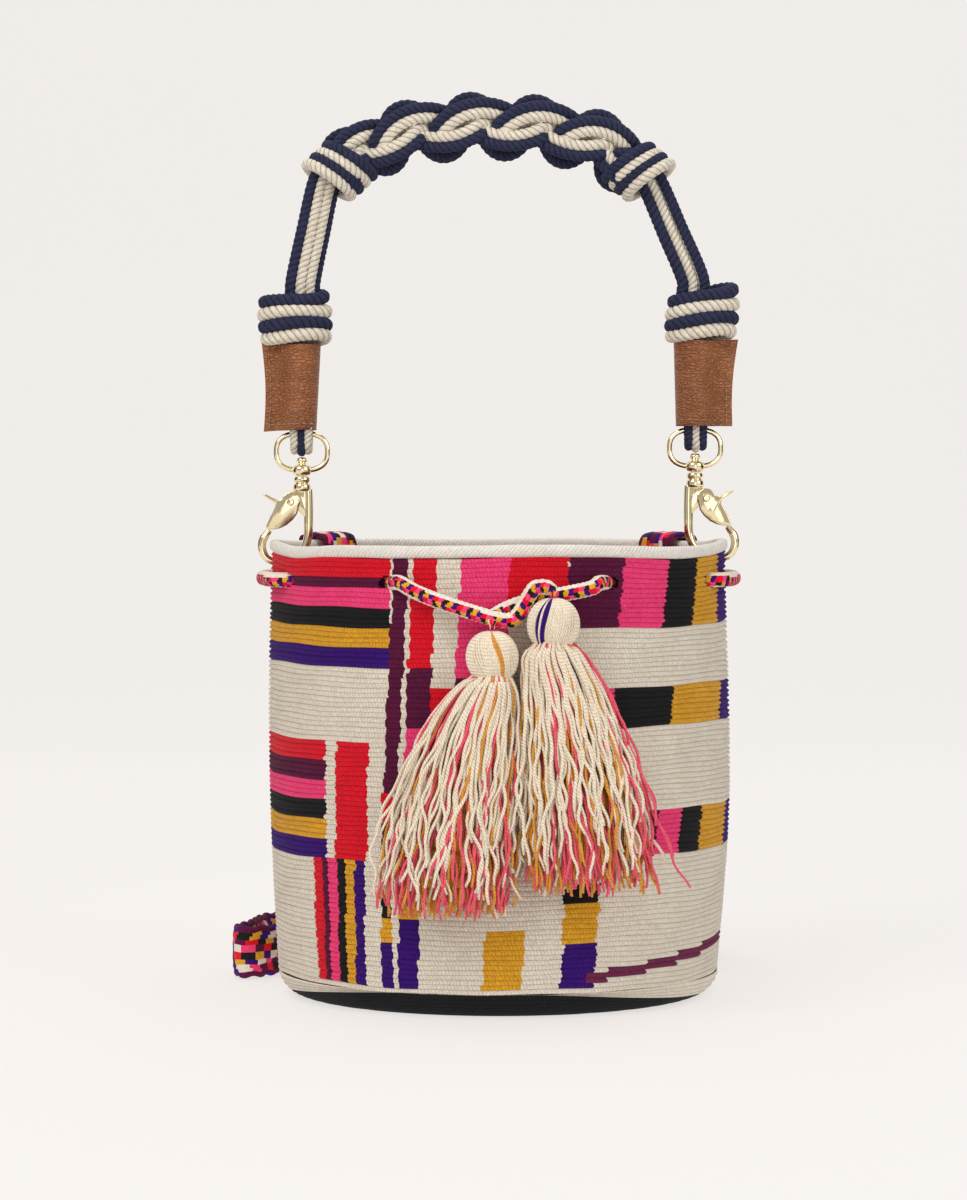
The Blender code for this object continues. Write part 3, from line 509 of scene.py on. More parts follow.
wallLook = {"top": 0.1926, "row": 0.0021, "rows": 87, "stitches": 540, "crest": 0.0003, "valley": 0.00045,
            "deepValley": 0.0009, "slant": 0.2, "waveRows": 22,
            # half width in degrees and half height of the holes
            "eyelet": (3.4, 0.0030), "hookHole": (2.5, 0.0036), "hookWire": 0.0016}
liningLook = {"columns": 180, "rounds": 24, "ridge": 0.00025, "floor": 0.0052, "eyelets": 1.15}
rimLook = {"count": 720, "sides": 20, "half": 0.0026, "press": 0.12, "pressAngle": 9, "strand": 0.0148, "strands": 42}
baseLook = {"columns": 320, "upper": 8, "ridge": 0.0006, "meet": 0.0012, "front": 0.0098, "back": 0.0070}


def eyelets():
    # Centre angle and height, half width in degrees and half height of each hole in the wall
    holes = [(side * angle, lacing["height"], *wallLook["eyelet"]) for side in (-1, 1) for angle in lacing["angles"]]
    for side, angle in (("left", -90), ("right", 90)):
        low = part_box(f"{side}_hook")[0]
        holes.append((angle, low.z + wallLook["hookWire"] + gap, *wallLook["hookHole"]))
    return holes


def wallWaves(angle, z):
    a = np.radians(angle)
    return 0.00035 * np.sin(3 * a + 1.3 + z * 18) + 0.0003 * np.sin(7 * a + z * 40) - 0.0004


def rimShare(level):
    # How much of the rim's wave is left at a row of the wall
    return np.clip(1 - level / wallLook["waveRows"], 0, 1) ** 1.5


def crochetWall():
    look = wallLook
    rings = []
    for row in range(look["rows"]):
        deep = look["deepValley"] if row % 2 == 0 else look["valley"]
        rings += [(row, -deep, 0.0), (row + 0.5, look["crest"], look["slant"])]
    rings.append((look["rows"], -look["valley"], 0.0))
    level, push, slant = (np.array(v)[:, None] for v in zip(*rings))
    step = 360 / look["stitches"]
    columns = np.arange(look["stitches"])[None, :]
    angle = (columns + slant) * step + 0.3 * step * np.sin(level * 2.1 + columns * 0.11)
    a = np.radians(angle)
    z = look["top"] - level * look["row"] + 0.00035 * np.sin(5 * a + level * 0.08) + 0.0002 * np.sin(13 * a + level * 0.5)
    z = z + rimWave(angle) * rimShare(level)
    radius = wallRadius(z) + push + wallWaves(angle, z) + 0.00010 * np.sin(columns * 2.4 + level * 3.1)
    middle = (columns + 0.5 + (slant[:-1] + slant[1:]) / 2) * step
    slots = chartSlots(*np.broadcast_arrays(middle, np.floor((level[:-1] + level[1:]) / 2)))
    order = np.r_[look["stitches"] - 2:-1:-1, look["stitches"] - 1]
    bundle = newBundle()
    addGrid(bundle, onBag(angle, radius, z)[:, ::-1], slots[:, order], span=np.append(level[:, 0], look["rows"]))
    openEyelets(bundle, 1.0)
    finishPiece("crochetWall", bundle, wallYarns, "bag", ["bag_body"])


def openEyelets(bundle, size):
    # Leaves out the stitches where the cord and the hooks go through
    faces = np.array(bundle["faces"])
    middle = np.concatenate(bundle["points"])[faces].mean(axis=1)
    angle = np.degrees(np.arctan2(middle[:, 0], -middle[:, 1]))
    keep = np.ones(len(faces), bool)
    for at, z, wide, high in eyelets():
        away = ((angle - at + 180) % 360 - 180) ** 2 / (wide * size) ** 2
        keep &= away + (middle[:, 2] - z) ** 2 / (high * size) ** 2 > 1
    bundle["faces"] = faces[keep].tolist()
    bundle["slots"] = np.array(bundle["slots"])[keep].tolist()
    bundle["uv"] = [np.concatenate(bundle["uv"]).reshape(-1, 4, 2)[keep].reshape(-1, 2)]


def lining():
    # The wall's inner side and the floor of the bag
    look = liningLook
    level = np.arange(0, wallLook["rows"] + 1)[:, None]
    angle = np.arange(look["columns"])[None, :] * 360 / look["columns"]
    z = wallLook["top"] - level * wallLook["row"] + rimWave(angle) * rimShare(level)
    radius = wallRadius(z) - bag["wall"] + look["ridge"] * np.cos(np.pi * level) + wallWaves(angle, z)
    slots = chartSlots(*np.broadcast_arrays(angle + 180 / look["columns"], level[:-1] * 1.0))
    bundle = newBundle()
    addGrid(bundle, onBag(angle, radius, z), slots, span=np.append(level[:, 0], wallLook["rows"] + 1))
    openEyelets(bundle, look["eyelets"])
    reach = np.linspace(bag["footRadius"] - bag["wall"] - 0.0004, 0.0004, look["rounds"])[:, None]
    ridge = 0.0002 * np.cos(np.pi * np.arange(look["rounds"]))[:, None]
    floor = onBag(angle, reach, look["floor"] + ridge + 0.004 * np.clip((reach - 0.088) / 0.005, 0, 1))
    addGrid(bundle, floor, chartYarns.index("black"))
    finishPiece("lining", bundle, wallYarns, "bag")


def rolledRim():
    # A rolled edge of slanted single stitches, which the clasps press
    look = rimLook
    angle = np.arange(look["count"]) * 360 / look["count"]
    height = bag["rimBand"] / 2
    line = onBag(angle, bag["rimRadius"] - bag["wall"] / 2 + 0.0004, bag["height"] - height - 0.0001 + rimWave(angle))
    turn = circle(look["sides"])
    a = np.radians(angle)[:, None]
    clasps = np.exp(-(np.minimum(np.abs(angle - 90), np.abs(angle - 270)) / look["pressAngle"]) ** 2)[:, None]
    puff = (0.985 + 0.02 * np.sin(a * 23) + 0.02 * np.sin(a * 9)) * (1 - look["press"] * clasps)
    squared = 1 / np.maximum(np.abs(np.cos(turn)), np.abs(np.sin(turn))) ** 0.35
    up = np.broadcast_to([0, 0, 1.0], line.shape)
    grid = sections(line, look["half"] * squared * puff * np.cos(turn), onBag(angle, 1.0, 0.0),
                    height * 0.95 * squared * puff * np.sin(turn), up)
    bundle = newBundle()
    span = np.arange(look["count"] + 1) * look["strand"] * look["strands"] / look["count"]
    addGrid(bundle, grid[:, ::-1], along=True, span=span)
    finishPiece("rolledRim", bundle, [yarnMaterial("rim", "rope")], "bag")


def crochetBase():
    # Cream rounds down to a wavy border, then black ones over the corner and across the bottom
    look = baseLook
    foot, corner = bag["footRadius"], bag["corner"]
    start = math.asin(1 - (wallLook["top"] - wallLook["rows"] * wallLook["row"]) / corner)
    arc = [(foot - corner * (1 - math.cos(a)), corner * (1 - math.sin(a))) for a in np.linspace(start, math.pi / 2, 40)]
    profile = np.array(arc + [(foot - corner - k * 0.002, 0) for k in range(1, 43)] + [(0.0006, 0)])
    profile = resample(profile, wallLook["row"] / 2)
    slope = unit(np.gradient(profile, axis=0))
    along = lengths(profile)
    angle = np.arange(look["columns"])[None, :] * 360 / look["columns"]
    facing = np.cos(np.radians(angle[0] + 8))
    meet = look["meet"] + np.where(facing > 0, look["front"], look["back"]) * facing ** 2
    upper = look["upper"]
    turnAt = np.interp(-meet, -profile[:, 1], along)
    level = np.arange(len(profile) + upper)[:, None]
    lower = (level - upper) / (len(level) - 1 - upper)
    at = np.where(level <= upper, turnAt * level / upper, turnAt + (along[-1] - turnAt) * lower)
    ridge = np.where(level % 2, 0.0, -look["ridge"])
    out = np.interp(at, along, profile[:, 0]) - np.interp(at, along, slope[:, 1]) * ridge
    z = np.interp(at, along, profile[:, 1]) + np.interp(at, along, slope[:, 0]) * ridge
    grid = onBag(angle + 0.4 * (level % 2), out, np.maximum(z, 0.0001))
    bundle = newBundle()
    addGrid(bundle, grid[:, ::-1], np.where(level[:-1] < upper, 0, 1), span=np.arange(len(level) + 1) / 2)
    looks = [yarnMaterial(c, "stitch") for c in ("cream", "black")]
    finishPiece("crochetBase", bundle, looks, "bag")


wallYarns = [yarnMaterial(c, "stitch") for c in chartYarns]
crochetWall()
lining()
rolledRim()
crochetBase()
print("wall, rim and base worked")


# The laced cord: a flat braid with cream edges and a line of coloured chevrons

# The ends' points: across, out from the rim, up from the eyelets
leftEnd = [(0.0190, 0.0125, -0.0012), (0.0150, 0.0120, -0.0010), (0.0112, 0.0120, -0.0065), (0.0075, 0.0122, -0.0128),
           (0.0020, 0.0120, -0.0150), (-0.0180, 0.0095, -0.0095), (-0.0340, 0.0035, -0.0038)]
rightEnd = [(0.0380, 0.0020, -0.0020), (0.0230, 0.0045, -0.0050), (0.0110, 0.0052, -0.0075), (0.0025, 0.0060, -0.0105),
            (-0.0025, 0.0105, -0.0135)]
tasselLook = {
    "head": 0.0108, "tip": 0.0030, "tipGap": 0.0007, "back": -0.1022, "meet": 0.0090, "skirtTop": 0.0085,
    "depth": 0.0115, "headThreads": 58, "headThread": 0.00058, "steps": 32, "clumps": 11, "strays": 4,
    "bend": {"left": 0.62, "right": 1.1}, "lean": {"left": 0.5, "right": -0.3},
    "flare": {"left": 0.0045, "right": 0.0030},
    # how many threads, ring in the section, shares of length, yarns, sway, radius
    "threads": [(50, (0.95, 1.08), (0.62, 0.97), ["cream"], 0.0032, (0.00062, 0.00080)),
                (62, (0.86, 1.0), (0.70, 0.97), ["cream"], 0.0026, (0.00062, 0.00080)),
                (54, (0.84, 1.0), (0.80, 1.0), ["coral", "amber", "cream"], 0.0022, (0.00058, 0.00072)),
                (100, (0.66, 0.95), (0.94, 1.04), ["coral", "amber", "coral"], 0.0017, (0.00055, 0.0007)),
                (80, (0.35, 0.76), (0.95, 1.05), ["amber", "coral", "amber", "cream"], 0.0015, (0.00055, 0.0007))],
    # head x, drop below the eyelets, skirt bottom x, half width, length
    "left": (-0.0030, 0.0300, -0.0185, 0.0270, 0.1040), "right": (0.0220, 0.0165, 0.0360, 0.0255, 0.1075),
}
tasselY = tasselLook["back"] - gap - tasselLook["head"]


def headOf(side):
    x, drop = tasselLook[side][:2]
    return np.array([x, tasselY, lacing["height"] - drop])


def laceRoute():
    # In and out of the wall at each eyelet, the back way round
    beside = lacing["radius"] + lacing["clearance"]
    out, inside = bag["rimRadius"] + beside, bag["rimRadius"] - bag["wall"] - beside
    stops = [-a for a in lacing["angles"]] + [a - 360 for a in reversed(lacing["angles"])]
    route = []
    for number, angle in enumerate(stops):
        before, after = (inside, out) if number % 2 else (out, inside)
        route += [(angle + lacing["lean"], before), (angle, bag["rimRadius"] - bag["wall"] / 2),
                  (angle - lacing["lean"], after)]
    full = []
    for (a, r), (b, s) in zip(route, route[1:]):
        full.append((a, r))
        if abs(b - a) > 12:
            for share in np.linspace(0, 1, max(3, round(abs(b - a) / 9)))[1:-1]:
                full.append((a + (b - a) * share, r + (s - r) * share))
    full.append(route[-1])
    return [onBag(a, r, lacing["height"]) for a, r in full]


def laceLine(spacing):
    top = [0, 0, tasselLook["head"] + tasselLook["tipGap"]]
    start, end = headOf("right") + top, headOf("left") + top
    ends = [[(x, -bag["rimRadius"] - out, lacing["height"] + up) for x, out, up in points]
            for points in (leftEnd, rightEnd)]
    rise = np.array([0, 0, tasselLook["tip"]])
    line = curvePoints([start + rise, *ends[0], *laceRoute(), *ends[1], end + rise], 0.004)
    return resample(np.vstack([start, line, end]), spacing)


laceLook = {"cell": 0.0021, "stripe": 0.80, "slant": 1.6, "sides": 20, "end": 0.0045,
            "colours": ["red", "violet", "mustard", "black", "pink"]}


def drawstring():
    look = laceLook
    line = laceLine(0.0006)
    run = lengths(line)
    angle, cell = circle(look["sides"]), look["cell"]
    turnBy = 0.35 * np.sin(run / 0.021)                    # the braid rolls a little as it goes
    ends = np.clip(np.minimum(run, run[-1] - run) / look["end"], 0.35, 1)
    around = (angle[None, :] + turnBy[:, None] + np.pi) % (2 * np.pi) - np.pi       # 0 faces outwards
    slant = run[:, None] / cell + look["slant"] * np.abs(around) / np.pi
    radius = lacing["radius"] * ends[:, None] * (0.90 + 0.16 * np.abs(np.sin(np.pi * slant)) ** 0.7)
    tangent, normal, side = frames(line, unit(line * [1, 1, 0]))
    grid = sections(line, 0.93 * radius * np.cos(angle), normal, 1.03 * radius * np.sin(angle), side)
    middle = around[:-1] + np.pi / look["sides"]
    away = np.minimum(np.abs(middle), np.pi - np.abs(middle))
    step = np.floor(run[:-1, None] / cell + look["slant"] * np.abs(middle) / np.pi).astype(int) + (middle > 0) * 2
    slots = np.where(away < look["stripe"], 1 + step % len(look["colours"]), 0)
    bundle = newBundle()
    addGrid(bundle, grid, slots, caps=True, span=np.append(run, run[-1]))
    looks = [yarnMaterial(c, "plain") for c in ["cream", *look["colours"]]]
    finishPiece("drawstringBraid", bundle, looks, "bag", ["drawstring"])


drawstring()
print("drawstring laced")


# Tassels: a wound head and a skirt of loose threads

def skirtSection(side, t):
    # Centre x, y, z and the half width and depth of the skirt at a share of its length
    headX, drop, lowX, half, length = tasselLook[side]
    head = headOf(side)
    top = head[2] - tasselLook["head"] * 0.80 - gap
    low = head[2] - length
    spread = np.sin(np.clip(t * 1.15, 0.0, 1) * np.pi / 2) ** 0.62
    x = headX + (lowX - headX) * t ** tasselLook["bend"][side]
    half = half + tasselLook["flare"][side]
    wide = tasselLook["skirtTop"] + (half - tasselLook["skirtTop"]) * spread
    limit = (-1, tasselLook["meet"] - gap) if side == "left" else (tasselLook["meet"] + gap, 1)
    lowSide, highSide = np.maximum(x - wide, limit[0]), np.minimum(x + wide, limit[1])
    deep = tasselLook["skirtTop"] + (tasselLook["depth"] - tasselLook["skirtTop"]) * spread
    y = tasselLook["back"] - gap - np.maximum(deep, tasselLook["head"] * (1 - 0.4 * t))
    return (lowSide + highSide) / 2, y, top + (low - top) * t, (highSide - lowSide) / 2, deep


def thread(side, u, v, reach, sway, radius, draw):
    # One thread of the skirt, at a place in its section, waving more towards its end
    steps = tasselLook["steps"]
    t = np.linspace(-0.03, reach, steps)
    x, y, z, wide, deep = skirtSection(side, np.clip(t, 0, None))
    z = z + np.where(t < 0, -t * 0.09, 0)
    narrow = np.where(t < 0, 0.75, 1.0)
    grow = np.clip(t, 0, 1) ** 0.7
    phases = [draw.uniform(0, 6.28) for _ in range(5)]
    rates = [draw.uniform(0.8, 1.25) for _ in range(3)]
    waveX = 0.9 * np.sin(6 * rates[0] * t + phases[0]) + 0.5 * np.sin(17 * rates[1] * t + phases[1])
    waveX = waveX + 0.34 * np.sin(34 * rates[2] * t + phases[4])
    waveY = 0.6 * np.sin(7 * rates[1] * t + phases[2]) + 0.5 * np.sin(19 * t + phases[3])
    turn = 0.10 * np.sin(3 * t + phases[2]) * grow * wide
    px = x + wide * u * narrow + sway * grow * waveX + turn
    py = y + deep * v * narrow + sway * 0.6 * grow * waveY
    line = np.stack([px, np.minimum(py, tasselLook["back"] - gap - radius), z], axis=1)
    return sweep(line, radius * np.interp(np.linspace(0, 1, steps), [0, 0.9, 1], [1, 1, 0.8]), 5)


def tasselSkirt(side, seed):
    look = tasselLook
    draw = random.Random(seed)
    bundle = newBundle()
    yarns = ["cream", "coral", "amber"]
    clumps = sorted(draw.uniform(-1, 1) for _ in range(look["clumps"]))
    for count, (inner, outer), (short, long), colours, sway, (thin, thick) in look["threads"]:
        for k in range(count):
            angle = 2 * math.pi * (k + draw.uniform(-0.45, 0.45)) / count
            rho = draw.uniform(inner, outer)
            u, v = rho * math.cos(angle), rho * math.sin(angle)
            near = min(clumps, key=lambda c: abs(c - u))
            u += (near - u) * draw.uniform(0.05, 0.4)
            v = max(-1.0, min(0.86, v))
            colour = draw.choice(colours)
            grid, span = thread(side, u, v, draw.uniform(short, long), sway, draw.uniform(thin, thick), draw)
            addGrid(bundle, grid, yarns.index(colour), caps=True, span=span)
    x, y, z, wide, deep = (v[:, None] for v in skirtSection(side, np.linspace(0, 0.9, 16)))
    turn = circle(40)                                   # a fluted core, so that nothing shows through
    flute = 0.52 * (1 + 0.06 * np.cos(turn * 20))
    core = np.broadcast_arrays(x + wide * flute * np.cos(turn), y + deep * flute * np.sin(turn), z)
    addGrid(bundle, np.stack(core, axis=-1)[:, ::-1], yarns.index("amber"), caps=True)
    if side == "right":                                 # a few pink threads stray to the right
        for k in range(look["strays"]):
            grid, span = thread(side, 0.96 + 0.03 * k, -0.2 + 0.1 * k, 0.62 + 0.13 * k, 0.0022, 0.0006, draw)
            lean = np.clip((grid[:, :, 2].max() - grid[:, :, 2]) / 0.1, 0, 1) ** 2
            grid[:, :, 0] += lean * (0.002 + 0.0035 * k)
            addGrid(bundle, grid, yarns.index("coral"), caps=True, span=span)
    looks = [yarnMaterial("tassel" if c == "cream" else c, "thread") for c in yarns]
    finishPiece(f"{side}TasselSkirt", bundle, looks, bodyOf[side], [f"{side}_tassel_skirt"])


def tasselHead(side, seed):
    # The folded threads show as fine twisted ridges from the top to the neck
    head, count = tasselLook["head"], tasselLook["headThreads"]
    centre = headOf(side)
    draw = random.Random(seed)
    bundle = newBundle()

    def shell(up, angle, size, tall):
        flat = size * np.sin(np.minimum(up, 2.45)) ** 0.82
        parts = (centre[0] + flat * np.sin(angle), centre[1] - flat * np.cos(angle) * 0.93, centre[2] + tall * np.cos(up))
        return np.stack(np.broadcast_arrays(*parts), axis=-1)

    marked = {"left": (2, 3), "right": (count - 4, count - 3, count - 6)}[side]
    up = np.linspace(0.16, 2.62, 26)
    for k in range(count):
        turn = 2 * math.pi * (k + draw.uniform(-0.12, 0.12)) / count
        angle = turn + tasselLook["lean"][side] * (up - 1.4) * 0.6 + 0.02 * np.sin(up * 3 + k)
        line = shell(up, angle, head * (0.96 + 0.03 * math.sin(turn * 3 + seed)), head * 0.96)
        addSweep(bundle, 1 if k in marked else 0, line, tasselLook["headThread"], 5, outward=line - centre)
    ball = shell(np.linspace(0.1, 2.65, 20)[:, None], circle(48)[None, :], head * 0.955, head * 0.95)
    addGrid(bundle, ball[:, ::-1], caps=True)
    share = np.linspace(0, 1, 260)
    turn, r = 2 * np.pi * 3 * share, head * 0.70
    neck = np.stack([centre[0] + r * np.sin(turn), centre[1] - r * np.cos(turn) * 0.95,
                     centre[2] - head * (0.80 + 0.10 * share)], axis=1)
    addSweep(bundle, 0, neck, 0.0006, 6)
    looks = [yarnMaterial("tassel", "thread"), yarnMaterial("amber" if side == "left" else "violet", "thread")]
    finishPiece(f"{side}TasselHead", bundle, looks, bodyOf[side], [f"{side}_tassel_head"])


for side, seed in (("left", 11), ("right", 23)):
    tasselHead(side, seed)
    tasselSkirt(side, seed + 5)
print("tassels tied")


# Handle: loops on the rings, leather wraps, knots, legs and the knotted stretch

ropeLook = {"loop": 0.0018, "pair": 0.0024, "plies": 3, "groove": 0.24, "sides": 24, "step": 0.36, "pitch": 3.4,
            "spacing": (0.0036, 0.0030), "clearance": 0.0008,
            # the legs' cords: yarn, place across, place in depth, radius
            "legs": {"left": [("navy", -0.0057, 0.0, 0.0025), ("rope", -0.0013, -0.0006, 0.0023),
                              ("rope", 0.0029, -0.0002, 0.0022), ("navy", 0.0050, 0.0026, 0.0023)],
                     "right": [("navy", -0.0050, 0.0, 0.0026), ("rope", -0.0006, -0.0004, 0.0021),
                               ("rope", 0.0022, 0.0022, 0.0021), ("navy", 0.0046, -0.0004, 0.0023)]}}
ringX, ringWire = 0.0865, 0.00115
ropes = {"navy": newBundle(), "rope": newBundle()}


def ringTop(side):
    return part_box(f"{side}_ring")[1].z


def layRope(colour, line, radius, phase=0.0):
    line = resample(np.asarray(line, float), radius * ropeLook["step"])
    addSweep(ropes[colour], 0, line, radius, ropeLook["sides"], pitch=radius * ropeLook["pitch"], phase=phase)


def layRing(colour, line, radius, outward, pitch):
    addSweep(ropes[colour], 0, line, radius, ropeLook["sides"], outward=outward, closed=True, pitch=pitch)


def loopCords(side, sign):
    # Three cords go round the ring's bar and up into the wrap
    bar = ringTop(side) - ringWire
    bend = ropeLook["loop"] + ringWire + ropeLook["clearance"]
    low, top = bar - 0.0045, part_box(f"{side}_leather_wrap")[1].z - 0.004
    for number in (-1, 0, 1):
        x, near = (sign * (ringX + 0.0002 + number * spacing) for spacing in ropeLook["spacing"])
        drop = low + 0.0008 * abs(number)
        points = [(x, bend, top), (x, bend, (top + low) / 2)]
        points += [(near, bend * math.cos(a), drop - bend * math.sin(a)) for a in np.linspace(0, math.pi, 9)]
        points += [(x, -bend, (top + low) / 2), (x, -bend, top)]
        colour = "navy" if (number == 0) == (side == "left") else "rope"
        layRope(colour, curvePoints(points, 0.0008), ropeLook["loop"] * 1.05)


# Reach of the sewn edge and of the round side at the lower and upper end
wrapLook = {"left": {"outer": (0.0167, 0.0176), "inner": (0.0064, 0.0084)},
            "right": {"outer": (0.0163, 0.0188), "inner": (0.0085, 0.0095)},
            "thick": 0.0014, "depth": 0.0083, "edge": 0.0014, "flat": 0.42, "rows": 44,
            "stitch": 0.00115, "thread": [0.00012, 0.00026, 0.00028, 0.00026, 0.00012]}


def wrapOutline(inner, outer, grow):
    # Round over the ropes and flat to the sewn edge, in x and y
    inner, outer = inner + grow, outer + min(grow, 0)
    flat, depth = wrapLook["flat"], wrapLook["depth"] + grow
    s = np.concatenate([np.linspace(0, 0.3, 14) ** 1.5 * 0.3 / 0.3 ** 1.5, np.linspace(0.3, 1, 22)[1:]])
    deep = depth * np.sqrt(np.clip(1 - (1 - np.clip(s / flat, 0, 1)) ** 2, 0, 1))
    edge = max(wrapLook["edge"] + grow, 0.0002)
    fall = 0.5 + 0.5 * np.cos(np.pi * np.clip((s - flat) / flat, 0, 1))
    deep = np.where(s > flat, edge + (depth - edge) * fall, deep)
    x = -inner + (inner + outer) * s
    return np.concatenate([np.stack([x, -deep], axis=1), np.stack([x, deep], axis=1)[::-1][:-1]])


def leatherWrap(side, sign):
    look = wrapLook[side]
    low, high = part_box(f"{side}_leather_wrap")
    shells = {0.0: [], -wrapLook["thick"]: []}
    for t in np.linspace(0, 1, wrapLook["rows"]).tolist():
        z = low.z + (high.z - low.z) * t
        inner, outer = (look[key][0] + (look[key][1] - look[key][0]) * t for key in ("inner", "outer"))
        for grow, rings in shells.items():
            ring = []
            for x, y in wrapOutline(inner, outer - 0.0012 * math.sin(math.pi * t), grow):
                crease = 0.00028 * noise.noise(Vector((x * 45 * sign + 9 * (sign > 0), y * 60, z * 330)))
                crease += 0.0002 * noise.noise(Vector((x * 120, y * 120, z * 150 + 5 * sign)))
                bent = 0.0010 * (x / 0.017) ** 2 * (2 * t - 1) if side == "left" else 0.0006 * (x / 0.017) * max(0, 2 * t - 1)
                ring.append((sign * (ringX + x), y * (1 + crease / 0.004 * 0.35), z + bent * 0.8))
            rings.append(ring)
    outerGrid, innerGrid = (np.array(rings) for rings in shells.values())
    whole = np.concatenate([outerGrid, innerGrid[::-1]])
    bundle = newBundle()
    addGrid(bundle, whole if sign > 0 else whole[:, ::-1], along=True)
    addStitches(bundle, outerGrid)
    finishPiece(f"{side}Leather", bundle, [leather, yarnMaterial("hem", "plain")], "handle",
                [f"{side}_leather_wrap"])


def addStitches(bundle, grid):
    # Runs of thread beside the sewn edge and above the lower hem, on both faces
    half = grid.shape[1] // 2
    for face in (grid[:, :half + 1], grid[:, half:][:, ::-1]):
        near = face.shape[1] - 4
        for run in (face[1:-1, near], face[3, 5:near + 1]):
            line = resample(run, wrapLook["stitch"])
            for k in range(0, len(line) - 2, 3):
                out = np.array([0, -1.0 if line[k][1] < 0 else 1.0, 0])
                bit = line[k:k + 3] + out * 0.00012
                bit[1] += out * 0.00022
                bit = resample(bit, 0.0006)
                addSweep(bundle, 1, bit, wrapLook["thread"][:len(bit)], 6)


# The turns' width and how much of the lean each one has, from below
knotLook = {"left": 0.11, "right": 0.22, "turns": [(0.93, 0.35), (1.0, 0.75), (0.985, 1.0), (0.91, 1.0)]}


def wrappedKnot(side, sign):
    # A cream and a navy cord, each wound twice round the ropes
    low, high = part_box(f"{side}_knot")
    centre = (low + high) / 2
    tall = (high.z - low.z - 0.0012) / 4
    radius = tall / 2 * 1.06
    a = circle(90)
    outward = np.stack([np.sin(a), -np.cos(a), 0 * a], axis=1)
    for number, (share, tip) in enumerate(knotLook["turns"]):
        size = share + 0.02 * np.sin(2 * a + number * 1.7)
        wide, deep = (((high[k] - low[k]) / 2 - radius * 0.9) * size for k in (0, 1))
        z = low.z + tall * (number + 0.5) + knotLook[side] * wide * np.sin(a) * tip
        z = z + 0.0006 * np.sin(2 * a + number) + 0.0008 * np.cos(a + number)
        line = np.stack([centre.x + sign * 0.0003 * number + wide * np.sin(a), -deep * np.cos(a), z], axis=1)
        layRing("navy" if number % 2 else "rope", line, radius, outward, radius * 3.0)


def arcPoints():
    # The middle line of the knotted stretch, from left to right
    knots = [(-0.0740, 0.1590), (-0.0560, 0.1735), (-0.0320, 0.1805), (-0.0040, 0.1825), (0.0250, 0.1800),
             (0.0480, 0.1725), (0.0655, 0.1590)]
    return curvePoints([(x, 0, bag["height"] + up) for x, up in knots], 0.0008)


def legCords(side, sign):
    # From inside the knot up to the end of the knotted stretch
    line = arcPoints()[::-sign]
    way = unit(line[6] - line[0])
    end = line[0] + way * 0.006
    start = np.array([sign * (ringX - 0.0010), 0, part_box(f"{side}_knot")[1].z - 0.004])
    middle = (start + end) / 2 + np.array([sign * 0.0036, 0, 0.0010])
    path = curvePoints([start, start + [0, 0, 0.008], middle, end - way * 0.009, end - way * 0.004, end], 0.0012)
    tangent = unit(np.gradient(path, axis=0))
    across = np.stack([tangent[:, 2], np.zeros(len(path)), -tangent[:, 0]], axis=1)
    squeeze = np.linspace(1, 0.9, len(path))[:, None]
    for colour, shift, depth, radius in ropeLook["legs"][side]:
        layRope(colour, path + across * shift * squeeze + np.array([0, depth, 0]), radius, phase=shift * 900)


chainLook = {"arc": 0.0277, "wide": 0.0064, "overlap": 0.0040, "middle": 0.0030, "swing": 0.0040, "cross": 0.0030,
             "lift": 0.0036, "depth": 0.0066, "lead": 0.45, "apart": 0.0045,
             # the end hitches: place on the middle line, half height, half depth, lean, pitch
             "hitches": ((-1, 2), (-1, 12), (1, -3), (1, -12)), "hitch": (0.0112, 0.0100, 0.0034, 0.0078)}


